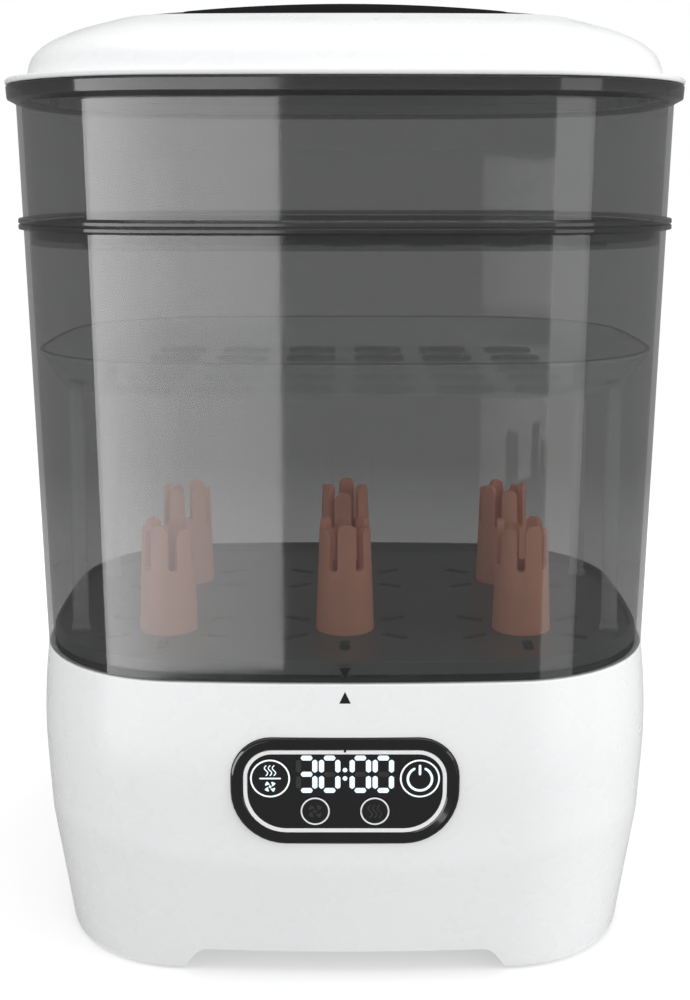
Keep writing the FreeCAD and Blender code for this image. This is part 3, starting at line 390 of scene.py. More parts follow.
def combine(obj, tool, operation):
    face_outwards(obj)
    face_outwards(tool)
    step = obj.modifiers.new(operation.lower(), "BOOLEAN")
    step.operation, step.solver, step.object = operation, "EXACT", tool
    bake_modifiers(obj)
    bpy.data.objects.remove(tool)
    return obj


def cut_away(obj, tool):
    return combine(obj, tool, "DIFFERENCE")


def joined(name, objects):
    """One object that holds the meshes of all of them."""
    shape = bmesh.new()
    for obj in objects:
        shape.from_mesh(obj.data)
    mesh = bpy.data.meshes.new(name)
    shape.to_mesh(mesh)
    shape.free()
    for obj in objects:
        bpy.data.objects.remove(obj)
    made = bpy.data.objects.new(name, mesh)
    bpy.context.scene.collection.objects.link(made)
    return made


def soften_edges(obj, width, degrees=50):
    step = obj.modifiers.new("soft_edges", "BEVEL")
    step.width, step.segments, step.limit_method = width, 2, "ANGLE"
    step.angle_limit = math.radians(degrees)
    step.use_clamp_overlap = True
    bake_modifiers(obj)


def finish_piece(obj, body, slot, replaced=(), material=None, sharp=32):
    """Shades the piece, gives it its material (the one named, else its slot's), ties it to its body, and
    hides the CAD nodes it replaces.
    """
    shape = bmesh.new()
    shape.from_mesh(obj.data)
    bmesh.ops.recalc_face_normals(shape, faces=shape.faces)
    for face in shape.faces:
        face.smooth = True
    for edge in shape.edges:
        if len(edge.link_faces) == 2:
            edge.smooth = edge.calc_face_angle(0) < math.radians(sharp)
    shape.to_mesh(obj.data)
    shape.free()
    step = obj.modifiers.new("even_shading", "WEIGHTED_NORMAL")
    step.keep_sharp = True
    obj.data.materials.clear()
    obj.data.materials.append(MATERIALS[material or slot])
    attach(obj, body)
    if replaced:
        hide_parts(*replaced)
    return obj


def repaint(obj, material, chosen):
    """Gives the faces that chosen(middle, outward direction) picks another material."""
    obj.data.materials.append(MATERIALS[material])
    place = len(obj.data.materials) - 1
    for face in obj.data.polygons:
        if chosen(face.center, face.normal):
            face.material_index = place


# ---------------------------------------------------------------- levels, from the frame

BASE_LOW, BASE_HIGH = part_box("base_shell")
LOWER_LOW, LOWER_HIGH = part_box("lower_chamber")
UPPER_LOW, UPPER_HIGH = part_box("upper_chamber")
TRAY_LOW, TRAY_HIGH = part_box("bottle_tray")
RACK_LOW, RACK_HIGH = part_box("middle_rack")
LID_LOW, LID_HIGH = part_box("lid_shell")
CROWN_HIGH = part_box("lid_crown")[1]
GAP = 0.3 * MM
WALL, SHELL, FLANGE = 2.2 * MM, 3.0 * MM, 2.2 * MM
NEST_GAP = 0.6 * MM
JOINT = BASE_HIGH.z + GAP
JOINT_GROW, WALL_SLOPE = -1.3 * MM, 0.0348
FLANGE_GROW = LOWER_HIGH.x - Bow.HALF_WIDTH
MOUTH_GROW = UPPER_HIGH.x - Bow.HALF_WIDTH
DECK_TOP, DECK_THICKNESS = 122.5 * MM, 2.5 * MM


def wall_grow(height):
    return JOINT_GROW + WALL_SLOPE * (height - JOINT)


# ---------------------------------------------------------------- base

BARREL = scaled([(1.2, -4.5), (30, -2.8), (60, -1.1), (90, 0.7), (110, 0.3), (128.4, -1.3)])
CHIN_SLOPE, CHIN_START = 0.162, -9.8 * MM
CREASE_SOFTNESS = 0.25 * MM


def barrel_grow(height):
    line = curve_through(BARREL, 8)
    for (z0, g0), (z1, g1) in zip(line, line[1:]):
        if height <= z1:
            return g0 + (g1 - g0) * (height - z0) / (z1 - z0)
    return line[-1][1]


def chin_excess(angle, height):
    """How far the chin's slope stands outside the barrel in this direction: negative below the crease."""
    chin = CHIN.reach(angle) + CHIN_START + CHIN_SLOPE * height
    return chin - BODY.reach(angle) - barrel_grow(height)


def crease_height(angle):
    low, high = 20 * MM, 110 * MM
    for _ in range(30):
        middle = (low + high) / 2
        if chin_excess(angle, middle) < 0:
            low = middle
        else:
            high = middle
    return low


def base_outside():
    """Rings up the outside of the base, with rows crowded round the crease."""
    angles = [angle for _, _, angle in BODY.columns]
    creases = [crease_height(angle) for angle in angles]
    foot, top = BASE_LOW.z, BASE_HIGH.z
    near = [k * MM for k in (-4, -2, -1, -0.4, 0.4, 1, 2, 4)]
    rings = []

    def add(heights):
        grows = []
        for angle, z in zip(angles, heights):
            excess = chin_excess(angle, z)
            inward = 0.5 * (excess - math.sqrt(excess ** 2 + CREASE_SOFTNESS ** 2))
            grows.append(barrel_grow(z) + inward)
        rings.append(BODY.ring(grows, heights))

    for share in (0, 0.2, 0.4, 0.6, 0.8, 1):
        add([foot + 0.8 * MM + (c - 5 * MM - foot) * share for c in creases])
    for step in near:
        add([c + step for c in creases])
    for share in range(1, 13):
        add([c + 4 * MM + (top - 0.9 * MM - c - 4 * MM) * share / 12 for c in creases])
    return rings


def base_shell():
    top, foot = BASE_HIGH.z, BASE_LOW.z
    outer, inner = JOINT_GROW, JOINT_GROW - SHELL
    foot_grow = CHIN_START + CHIN_SLOPE * foot
    rim = rounded([(outer, top - 1.2 * MM), (outer, top), (inner, top), (inner, DECK_TOP),
                   (inner - 9 * MM, DECK_TOP)], [0, 0.8 * MM, 0.6 * MM, 1.5 * MM, 0])[1:]
    cavity = [(inner - 5 * MM, DECK_TOP - DECK_THICKNESS), (inner, DECK_TOP - DECK_THICKNESS),
              (-3.4 * MM, 90 * MM), (-6.2 * MM, 50 * MM), (-13.1 * MM, foot), (foot_grow - 0.7 * MM, foot)]
    rings = [BODY.ring(g, z) for g, z in cavity] + base_outside() + [BODY.ring(g, z) for g, z in rim]
    shell = skin("base_casing", rings)
    arch = scaled([(-70, -2), (-61, 10.5), (61, 10.5), (70, -2)])
    arch = rounded(arch, [0, 7 * MM, 7 * MM, 0], closed=True)
    pan_low, pan_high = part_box("heating_pan")
    pan_x, pan_y = (pan_low.x + pan_high.x) / 2, (pan_low.y + pan_high.y) / 2
    door_low, door_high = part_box("filter_cover")
    gland_low, gland_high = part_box("cord_gland")
    gland_x, gland_z = (gland_low.x + gland_high.x) / 2, (gland_low.z + gland_high.z) / 2
    edge = 0.5 * MM
    door = [(door_low.x - edge, door_low.z - edge), (door_high.x + edge, door_low.z - edge),
            (door_high.x + edge, door_high.z + edge), (door_low.x - edge, door_high.z + edge)]
    outlet = scaled([(-28, 54), (28, 54), (28, 82), (-28, 82)])
    tools = [
        prisms("arch_tool", [arch], -0.15, 0.15, along_y),
        prisms("panel_tool", [panel_outline(-0.2 * MM)], -20 * MM, 20 * MM, on_panel),
        prisms("door_tool", [rounded(door, 2 * MM, closed=True)], 0.07, 0.12, along_y),
        prisms("pan_tool", [circle_outline(pan_x, pan_y, 58 * MM, 96), rounded(outlet, 2 * MM, closed=True)],
               0.112, 0.135),
        prisms("spot_tool", [circle_outline(gland_x, gland_z, 10.4 * MM)], 94.4 * MM, 0.12, along_y),
    ]
    cut_away(shell, joined("base_tools", tools))
    cut_away(shell, prisms("gland_tool", [circle_outline(gland_x, gland_z, 7 * MM)], 0.06, 0.12, along_y))
    finish_piece(shell, "base", "white_gloss", ["base_shell"])


# ---------------------------------------------------------------- control panel

BEZEL_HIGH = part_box("panel_bezel")[1]
PANEL_LEAN = math.radians(2.1)
PANEL_HALF_WIDTH, PANEL_HALF_HEIGHT = BEZEL_HIGH.x, 22.65 * MM
PANEL_TOP_RADIUS, PANEL_LOW_RADIUS = 16.6 * MM, 22.6 * MM
PANEL_Y, PANEL_Z = -99.7 * MM, 84 * MM
WINDOW_FACE, KEY_FACE = 0.3 * MM, 0.6 * MM
PRINT = 0.05 * MM


def on_panel(across, up, out):
    """A point of the control panel's own frame, in the row frame."""
    return (across, PANEL_Y - out * math.cos(PANEL_LEAN) - up * math.sin(PANEL_LEAN),
            PANEL_Z - out * math.sin(PANEL_LEAN) + up * math.cos(PANEL_LEAN))


def panel_outline(inset, steps=10):
    half, tall = PANEL_HALF_WIDTH - inset, PANEL_HALF_HEIGHT - inset
    low, top = PANEL_LOW_RADIUS - inset, PANEL_TOP_RADIUS - inset
    corners = [(-half + low, -tall + low, low, 2), (half - low, -tall + low, low, 3),
               (half - top, tall - top, top, 0), (-half + top, tall - top, top, 1)]
    points = []
    for cx, cy, radius, quarter in corners:
        for k in range(steps + 1):
            angle = (quarter + k / steps) * math.pi / 2
            points.append((cx + radius * math.cos(angle), cy + radius * math.sin(angle)))
    return points


def panel_ring(name, profile, slot, replaced):
    """A ring round the panel whose section is this profile of (inset, out) points."""
    rings = [[on_panel(a, b, out) for a, b in panel_outline(inset)] for inset, out in profile]
    ring = skin(name, rings, closed=True)
    return finish_piece(ring, "base", slot, [replaced])


def panel_rings():
    bezel = [(0.05, -4), (0.05, 0.45), (0.9, 1.0), (2.0, 0.95), (4.4, 0.62), (4.95, 0.4), (4.95, -4)]
    panel_ring("bezel_ring", rounded(scaled(bezel), 0.35 * MM, closed=True), "black_gloss", "panel_bezel")
    trim = [(5.05, -4), (5.05, 0.62), (6.65, 0.62), (6.65, -4)]
    panel_ring("trim_ring", rounded(scaled(trim), 0.15 * MM, closed=True), "white_gloss", "panel_trim")
    notch = [(-0.45, 16.9), (0.45, 16.9), (0.45, 18.2), (-0.45, 18.2)]
    marks("trim_notch", [scaled(notch)], 0.62 * MM, "base", "black_gloss")


def marks(name, outlines, face, body, slot, material=None, depth=PRINT):
    """Flat printed or lit marks on the panel."""
    return finish_piece(prisms(name, outlines, face, face + depth, on_panel), body, slot, material=material)


SEGMENTS = {"0": "abcdef", "3": "abcdg"}
DIGIT_PLACES = (-15.5, -6.2, 6.2, 15.5)
DISPLAY_UP = 7.4
SEGMENT_REACH, SEGMENT_RISE, SEGMENT_WIDTH = 3.3, 6.95, 2.1


def segment_outline(letter, x, y):
    """The outline of one segment of a digit centred at x, y."""
    across = {"a": SEGMENT_RISE, "g": 0, "d": -SEGMENT_RISE}
    if letter in across:
        return slot_like(x, y + across[letter], 5.0, SEGMENT_WIDTH, 0)
    side = 1 if letter in "bc" else -1
    rise = SEGMENT_RISE / 2 * (1 if letter in "bf" else -1)
    return slot_like(x + side * SEGMENT_REACH, y + rise, 5.7, SEGMENT_WIDTH, 90)


def slot_like(x, y, length, width, degrees):
    """A bar with softly tapered ends."""
    half, thick = length / 2, width / 2
    bar = [(-half, 0), (-half + 0.75, -thick), (half - 0.75, -thick), (half, 0), (half - 0.75, thick),
           (-half + 0.75, thick)]
    turn = math.radians(degrees)
    placed = [(x + a * math.cos(turn) - b * math.sin(turn), y + a * math.sin(turn) + b * math.cos(turn))
              for a, b in bar]
    return rounded(scaled(placed), 0.5 * MM, closed=True, steps=3)


def display_digits():
    lit, dim = [], []
    for x, digit in zip(DIGIT_PLACES, "3000"):
        for letter in "abcdefg":
            outline = segment_outline(letter, x, DISPLAY_UP)
            (lit if letter in SEGMENTS[digit] else dim).append(outline)
    for up in (-1.8, 1.8):
        lit.append(circle_outline(0, (DISPLAY_UP + up) * MM, 0.95 * MM, 20))
    marks("digits_lit", lit, WINDOW_FACE, "base", "black_gloss", "lit_segments")
    marks("digits_unlit", dim, WINDOW_FACE, "base", "black_gloss", "unlit_segments", PRINT / 2)


def stroke(points, width):
    """The outline of a round-ended line of this width along the points, in the panel's frame."""
    line = [Vector(p) for p in points]
    left, right = [], []
    for i, here in enumerate(line):
        before, after = line[max(i - 1, 0)], line[min(i + 1, len(line) - 1)]
        along = (after - before).normalized()
        side = Vector((-along.y, along.x)) * width / 2
        left.append(here + side)
        right.append(here - side)

    def cap(centre, along):
        base = math.atan2(along.y, along.x) + math.pi / 2
        turns = [base - math.pi * k / 6 for k in range(1, 6)]
        return [centre + Vector((math.cos(turn), math.sin(turn))) * width / 2 for turn in turns]

    end = cap(line[-1], line[-1] - line[-2])
    start = cap(line[0], line[0] - line[1])
    return [tuple(p) for p in left + end + right[::-1] + start]


def waves(x, y, tall, pitch, width):
    """Three wavy lines of rising steam."""
    outlines = []
    for k in (-1, 0, 1):
        line = [(x + k * pitch + 0.16 * tall * math.sin(2 * math.pi * t / 16), y + tall * (t / 16 - 0.5))
                for t in range(17)]
        outlines.append(stroke(line, width))
    return outlines


def fan(x, y, radius):
    """A four-bladed fan: each blade is swept back, bellied on one side and pointed at its tip."""
    outlines = []
    for k in range(4):
        turn = math.pi / 2 * k
        reach = [0.16 + 0.84 * t / 8 for t in range(9)]
        belly = [0.95 * math.sin(math.pi * (t / 8) ** 1.6) for t in range(8)]
        blade = [(r, 0.55 * r) for r in reach]
        blade += [(reach[t], 0.55 * reach[t] + belly[t]) for t in range(7, 0, -1)]
        outlines.append([(x + radius * r * math.cos(turn + a), y + radius * r * math.sin(turn + a))
                         for r, a in blade])
    outlines.append(circle_outline(x, y, radius * 0.2, 16))
    return outlines


def arc_line(x, y, radius, start, end, steps=36):
    turns = [math.radians(start + (end - start) * k / steps) for k in range(steps + 1)]
    return [(x + radius * math.cos(turn), y + radius * math.sin(turn)) for turn in turns]


def key_ring(x, y, radius, width):
    """A printed circle: two half rings, so that each has a plain outline."""
    return [stroke(arc_line(x, y, radius, start, start + 180), width) for start in (0, 180)]


def key_marks():
    """The rings and symbols on the four keys."""
    big, small = (30.3 * MM, 5.7 * MM, 7.75 * MM), (12.1 * MM, -8.4 * MM, 5.6 * MM)
    thin, bold = 0.42 * MM, 0.62 * MM
    x, y, radius = -big[0], big[1], big[2]
    symbol = waves(x, y + 3.4 * MM, 4.2 * MM, 1.6 * MM, thin)
    symbol.append(slot_outline(x, y, 8.8 * MM, 0.62 * MM))
    symbol += fan(x, y - 3.5 * MM, 2.6 * MM)
    for name, place, ring_radius, ring_width, ring_paint, symbol_lines, paint in (
        ("steam_and_dry", (x, y), radius, 0.68 * MM, "lit_ring", symbol, "lit_segments"),
        ("power", (big[0], y), radius, 0.68 * MM, "lit_ring",
         [stroke(arc_line(big[0], y - 0.2 * MM, 4.9 * MM, 118, 422), 1.0 * MM),
          stroke([(big[0], y + 1.9 * MM), (big[0], y + 3.6 * MM), (big[0], y + 5.4 * MM)], 1.0 * MM)],
         "lit_segments"),
        ("dry", (-small[0], small[1]), small[2], 0.62 * MM, "dim_ring", fan(-small[0], small[1], 3.3 * MM),
         "unlit_segments"),
        ("steam", (small[0], small[1]), small[2], 0.62 * MM, "dim_ring",
         waves(small[0], small[1], 5.2 * MM, 1.9 * MM, bold), "unlit_segments"),
    ):
        body = f"{name}_button_key"
        rings = key_ring(place[0], place[1], ring_radius, ring_width)
        marks(f"{name}_key_ring", rings, KEY_FACE, body, "black_gloss", ring_paint)
        marks(f"{name}_key_symbol", symbol_lines, KEY_FACE, body, "black_gloss", paint)


def alignment_marks():
    """The two small arrowheads that meet where the chamber sits on the base."""
    def on_front(grow):
        return lambda across, up, out: (across, -(Bow.HALF_DEPTH + grow(up) + out), up)

    half = 2.3 * MM
    low, high = JOINT - 8.0 * MM, JOINT - 3.2 * MM
    up_mark = [(-half, low), (half, low), (0, high)]
    mark = prisms("base_arrow", [up_mark], -PRINT, PRINT, on_front(barrel_grow))
    finish_piece(mark, "base", "black_gloss")
    low, high = JOINT + 2.2 * MM, JOINT + 6.6 * MM
    down_mark = [(-half, high), (0, low), (half, high)]
    mark = prisms("chamber_arrow", [down_mark], 0.005 * MM, PRINT, on_front(wall_grow))
    finish_piece(mark, "lower_chamber_body", "black_gloss")


# ---------------------------------------------------------------- chambers


TANGENTS = [(math.cos(angle), math.sin(angle), BODY.reach(angle)) for _, _, angle in BODY.columns]


def outside(point):
    """How far a point lies outside the body's own outline."""
    return max(point.x * across + point.y * deep - reach for across, deep, reach in TANGENTS)


def slot_rows(columns, rows, pitch_x, pitch_y, length, width, fewer=1):
    """Outlines of rows of slots; every second row has fewer of them, which shifts it."""
    outlines = []
    for j in range(rows):
        count = columns - j % 2 * fewer
        for i in range(count):
            x, y = (i - (count - 1) / 2) * pitch_x, (j - (rows - 1) / 2) * pitch_y
            outlines.append(slot_outline(x * MM, y * MM, length * MM, width * MM))
    return outlines


def lower_chamber():
    foot, top = JOINT, LOWER_HIGH.z
    plug = JOINT_GROW - SHELL - NEST_GAP
    ledge = plug - WALL - 4 * MM
    floor = foot + WALL
    profile = [(ledge, LOWER_LOW.z), (plug, LOWER_LOW.z), (plug, foot), (JOINT_GROW, foot),
               (wall_grow(top - FLANGE), top - FLANGE), (FLANGE_GROW, top - FLANGE), (FLANGE_GROW, top),
               (wall_grow(top) - WALL, top), (wall_grow(floor) - WALL, floor), (ledge, floor)]
    radii = [0.3, 0.3, 0.3, 0.7, 0.8, 0.6, 0.6, 0.5, 1.6, 0.3]
    chamber = swept("lower_chamber_wall", rounded(profile, [r * MM for r in radii], closed=True), closed=True)
    finish_piece(chamber, "lower_chamber_body", "smoky_clear", ["lower_chamber"])
    wall = wall_grow(top) - 0.5 * MM
    repaint(chamber, "smoky_edge", lambda p, out: p.z > top - FLANGE - 0.5 * MM and outside(p) > wall)


def upper_chamber():
    low, top = UPPER_LOW.z, UPPER_HIGH.z
    rest = LOWER_HIGH.z + GAP
    rim = rest + FLANGE
    flare = top - 5.5 * MM
    skirt = wall_grow(low) - WALL - NEST_GAP
    floor = low + WALL
    profile = [(skirt - 6 * MM, low), (skirt, low), (skirt, rest), (FLANGE_GROW, rest), (FLANGE_GROW, rim),
               (wall_grow(rim), rim), (wall_grow(flare - 2 * MM), flare - 2 * MM),
               (MOUTH_GROW - 0.4 * MM, flare), (MOUTH_GROW, top),
               (wall_grow(top) - WALL, top), (wall_grow(rim) - WALL, rim),
               (skirt - WALL, rim - 0.2 * MM), (skirt - WALL, floor), (skirt - WALL - 6 * MM, floor)]
    radii = [0, 0.8, 0.4, 0.6, 0.6, 0.7, 1.2, 0.9, 0.7, 0.6, 0.6, 0.6, 1.4, 0]
    chamber = swept("upper_chamber_tub", rounded(profile, [r * MM for r in radii]))
    slots = slot_rows(7, 7, 33, 22, 17, 5)
    cut_away(chamber, prisms("slot_tool", slots, low - 5 * MM, floor + 5 * MM))
    finish_piece(chamber, "upper_chamber_body", "smoky_clear", ["upper_chamber"])
    repaint(chamber, "smoky_edge", lambda p, out: p.z > top - 0.4 * MM or (
        outside(p) > wall_grow(p.z) + 0.3 * MM))


# ---------------------------------------------------------------- tray, pegs and rack


def peg_boxes():
    return {n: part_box(f"bottle_peg_{n}") for n in range(1, 7)}


def bottle_tray():
    floor = TRAY_LOW.z + 2.2 * MM
    edge, lip = TRAY_HIGH.x - Bow.HALF_WIDTH, 1.8 * MM
    profile = [(edge - 8 * MM, TRAY_LOW.z), (edge, TRAY_LOW.z), (edge, TRAY_HIGH.z),
               (edge - lip, TRAY_HIGH.z), (edge - lip, floor), (edge - 8 * MM, floor)]
    tray = swept("drain_tray", rounded(profile, [0, 0.8 * MM, 0.8 * MM, 0.6 * MM, 1.2 * MM, 0]))
    outlines = []
    for low, high in peg_boxes().values():
        x, y = (low.x + high.x) / 2, (low.y + high.y) / 2
        for k in range(6):
            turn = 60 * k + 30
            reach, angle = 25 * MM, math.radians(turn)
            outlines.append(slot_outline(x + reach * math.cos(angle), y + reach * math.sin(angle),
                                         13 * MM, 4.5 * MM, turn))
    cut_away(tray, prisms("drain_tool", outlines, TRAY_LOW.z - 5 * MM, floor + 2 * MM))
    finish_piece(tray, "bottle_tray_body", "dark_tray", ["bottle_tray"])


PEG_FINGERS, PEG_ROWS = 6, 14
PEG_SLIT_DEPTH, PEG_SLIT_WIDTH, PEG_WALL = 21 * MM, 3.9 * MM, 2.7 * MM
TIP_RADIUS = 3.2 * MM


def finger_crest(across, half, crest, slit_floor):
    """The height of a peg's edge this far across from a finger's middle; half is half the finger's width."""
    if across <= half:
        into = max(0.0, across - half + TIP_RADIUS)
        return crest - 0.9 * (TIP_RADIUS - math.sqrt(max(0.0, TIP_RADIUS ** 2 - into ** 2)))
    middle = PEG_SLIT_WIDTH / 2
    out = middle - (across - half)
    return slit_floor - math.sqrt(max(0.0, middle ** 2 - out ** 2))


def bottle_peg(number, low, high, chance):
    """A tapering tube that ends in six round-tipped fingers of slightly different heights."""
    x, y, tall = (low.x + high.x) / 2, (low.y + high.y) / 2, high.z - low.z
    foot, tip = (high.x - low.x) / 2, (high.x - low.x) / 2 - 1.7 * MM
    pitch = 2 * math.pi / PEG_FINGERS
    half = pitch * tip / 2 - PEG_SLIT_WIDTH / 2
    finger = [k / 6 * (half - TIP_RADIUS) for k in range(6)]
    finger += [half - TIP_RADIUS * (1 - math.sin(math.pi / 2 * k / 7)) for k in range(8)]
    slit = [half + PEG_SLIT_WIDTH / 2 * (1 - math.cos(math.pi / 2 * k / 5)) for k in range(6)]
    slit[0] = half + 0.03 * MM
    side = finger + slit
    profile = [-a for a in reversed(side[1:-1])] + side
    columns = []
    for k in range(PEG_FINGERS):
        crest = tall - (chance.uniform(0, 1.4) + (2.4 if k % 2 else 0)) * MM
        middle = math.radians(17 * number) + pitch * k
        for across in profile:
            height = finger_crest(abs(across), half, crest, tall - PEG_SLIT_DEPTH + PEG_SLIT_WIDTH / 2)
            columns.append((middle + across / tip, height))

    def ring(inset, share, drop=0.0):
        points = []
        for angle, crest in columns:
            height = (crest - drop) * share
            radius = foot + (tip - foot) * height / tall - inset
            points.append((x + radius * math.cos(angle), y + radius * math.sin(angle), low.z + height))
        return points

    shares = [k / PEG_ROWS for k in range(PEG_ROWS + 1)]
    soft = 0.6 * MM
    rings = [ring(0, share, soft) for share in shares]
    rings += [ring(0.2 * MM, 1, 0.2 * MM), ring(PEG_WALL / 2, 1), ring(PEG_WALL - 0.2 * MM, 1, 0.2 * MM)]
    rings += [ring(PEG_WALL, share, soft) for share in reversed(shares)]
    peg = skin(f"finger_peg_{number}", rings, closed=True)
    finish_piece(peg, "bottle_tray_body", "coral", [f"bottle_peg_{number}"], sharp=50)


def bottle_pegs():
    chance = random.Random(7)
    for number, (low, high) in peg_boxes().items():
        bottle_peg(number, low, high, chance)


def rack_leg(x, y, low, high):
    """A round leg with a soft foot."""
    line = rounded([(0.0001 * MM, low), (4.3 * MM, low), (4.3 * MM, low + 2.2 * MM), (3.5 * MM, low + 4 * MM),
                    (3.5 * MM, high)], [0, 0.7 * MM, 0.5 * MM, 0.5 * MM, 0])
    rings = [[(x + r * math.cos(2 * math.pi * k / 32), y + r * math.sin(2 * math.pi * k / 32), z)
              for k in range(32)] for r, z in line]
    return skin("rack_leg", rings)


RACK_PLATE = 243 * MM
RACK_SLOT_GRID = dict(columns=6, rows=5, pitch_x=33, pitch_y=34, length=23.5, width=14, fewer=0)


def middle_rack():
    floor_low, rim = RACK_PLATE, RACK_HIGH.z
    floor = floor_low + 2.2 * MM
    floor_grow, rim_grow = -9.5 * MM, RACK_HIGH.x - Bow.HALF_WIDTH
    inner_rim, inner_floor = rim_grow - 2 * MM, floor_grow - 2 * MM
    profile = [(floor_grow - 6 * MM, floor_low), (floor_grow, floor_low),
               (rim_grow - 1.0 * MM, rim - 2.4 * MM), (rim_grow, rim - 2.2 * MM),
               (rim_grow, rim), (inner_rim, rim), (inner_floor, floor),
               (inner_floor - 6 * MM, floor)]
    radii = [0, 2.5, 0.5, 0.5, 0.7, 0.8, 2.0, 0]
    dish = swept("rack_dish", rounded(profile, [r * MM for r in radii]))
    slots = slot_rows(**RACK_SLOT_GRID)
    cut_away(dish, prisms("rack_tool", slots, floor_low - 5 * MM, floor + 5 * MM))
    legs = [rack_leg(sx * 116 * MM, sy * 44 * MM, RACK_LOW.z, floor_low + 1 * MM)
            for sx in (1, -1) for sy in (1, -1)]
    rack = joined("clear_rack", [dish] + legs)
    finish_piece(rack, "middle_rack_body", "clear", ["middle_rack"])
    slot_reach = floor_grow - 3 * MM
    repaint(rack, "clear_edge", lambda p, out: p.z > rim - 0.5 * MM or (
        abs(out.z) < 0.6 and floor_low < p.z < floor and outside(p) < slot_reach))


# ---------------------------------------------------------------- lid

DOME = [(0.0, 2.2), (5.2, 1.2), (9.5, -0.8), (13.7, -5.2), (17.2, -11.5), (20.2, -19.0), (22.9, -28.0),
        (25.2, -36.0)]
CROWN = [(25.2, -36.0), (27.9, -45.0), (30.3, -55.0), (32.2, -64.0)]


def lid_shell():
    base = UPPER_HIGH.z + GAP
    rim_top = base + 2.5 * MM
    rim_grow = LID_HIGH.x - Bow.HALF_WIDTH
    nest = wall_grow(UPPER_HIGH.z) - WALL - NEST_GAP
    dome = [(g * MM, rim_top + h * MM) for h, g in curve_through(DOME, 6)]
    inside = [(g - SHELL, z - 2.6 * MM) for g, z in reversed(dome[1:])]
    seat = CROWN_GROW - 4 * MM
    brim = [(nest, base), (rim_grow, base), (rim_grow, rim_top), (dome[0][0] + 0.4 * MM, rim_top), dome[1]]
    rim = rounded(brim, [0, 0.9 * MM, 1.1 * MM, 1.2 * MM, 0])
    edge = [(CROWN_GROW - 0.5 * MM, dome[-1][1] - 0.1 * MM), (CROWN_GROW - 0.7 * MM, dome[-1][1] - 0.9 * MM),
            (seat, dome[-1][1] - 0.9 * MM)]
    lip = rounded([(inside[-1][0], base - 0.2 * MM), (nest - WALL, base - 0.2 * MM), (nest - WALL, LID_LOW.z),
                   (nest, LID_LOW.z), (nest, base)], [0, 0.6 * MM, 0.6 * MM, 0.6 * MM, 0])
    lid = swept("lid_dome", rim[:-1] + dome[1:] + edge + inside + lip[:-1], closed=True)
    finish_piece(lid, "lid", "white_gloss", ["lid_shell"])


CROWN_GROW = -36 * MM
CAMBER, SPAN = 2.2 * MM, 60 * MM
WELL_FLOOR, WELL_LENGTH, WELL_WIDTH = 391 * MM, 100 * MM, 44 * MM


def crown_rings():
    """Rings up the crown: they follow the lid's outline at its edge, and its top falls off to both sides."""
    base = UPPER_HIGH.z + GAP + 2.5 * MM
    rings = []
    for h, g in curve_through(CROWN, 6)[1:]:
        fall = min(1.0, (CROWN[0][1] - g) / 22) * CAMBER
        rings.append([(x, y, base + h * MM - fall * (x / SPAN) ** 2) for x, y, _ in BODY.ring(g * MM, 0)])
    last = rings[-1]
    for size in (0.93, 0.8, 0.6, 0.35, 0.12):
        rise = (1 - size ** 2) * 0.5 * MM
        rings.append([(x * size, y * size, base + CROWN[-1][0] * MM + rise - CAMBER * (x * size / SPAN) ** 2)
                      for x, y, _ in last])
    return rings


def lid_crown():
    base = UPPER_HIGH.z + GAP + 2.5 * MM
    edge_low = base + (CROWN[0][0] - 0.7) * MM
    under = [(CROWN_GROW - 8 * MM, edge_low), (CROWN_GROW - 0.75 * MM, edge_low),
             (CROWN_GROW - 0.75 * MM, edge_low + 0.6 * MM)]
    soft = rounded(under, [0, 0.2 * MM, 0])
    crown = skin("crown_cap", [BODY.ring(g, z) for g, z in soft] + crown_rings())
    tub = prisms("tub", [slot_outline(0, 0, WELL_LENGTH + 4 * MM, WELL_WIDTH + 4 * MM, steps=24)],
                 WELL_FLOOR - 2 * MM, CROWN_HIGH.z - 3.5 * MM)
    combine(crown, tub, "UNION")
    well = prisms("well_tool", [slot_outline(0, 0, WELL_LENGTH, WELL_WIDTH, steps=24)], WELL_FLOOR, 0.42)
    cut_away(crown, well)
    soften_edges(crown, 0.7 * MM)
    vents = [slot_outline(side * x * MM, 0, 20 * MM, 3 * MM, 90) for side in (-1, 1) for x in (30, 36, 42)]
    cut_away(crown, prisms("vent_tool", vents, WELL_FLOOR - 6 * MM, WELL_FLOOR + 3 * MM))
    finish_piece(crown, "lid", "black_gloss", ["lid_crown"], "crown_black", sharp=30)


def make_pieces():
    base_shell()
    panel_rings()
    display_digits()
    key_marks()
    alignment_marks()
    lower_chamber()
    upper_chamber()
    bottle_tray()
    bottle_pegs()
    middle_rack()
    lid_shell()
    lid_crown()


# ---------------------------------------------------------------- camera, stage and lights


def area_light(name, place, target, width, height, power, mirrored=True):
    """A soft light that faces its target; if it isn't mirrored, shiny surfaces don't show its shape."""
    data = bpy.data.lights.new(name, "AREA")
    data.shape = "RECTANGLE"
    data.size, data.size_y = width, height
    data.energy = power
    light = bpy.data.objects.new(name, data)
    bpy.context.scene.collection.objects.link(light)
    light.location = place
    light.rotation_mode = "QUATERNION"
    light.rotation_quaternion = (Vector(target) - Vector(place)).to_track_quat("-Z", "Y")
    light.visible_camera = False
    light.visible_glossy = mirrored
    return light


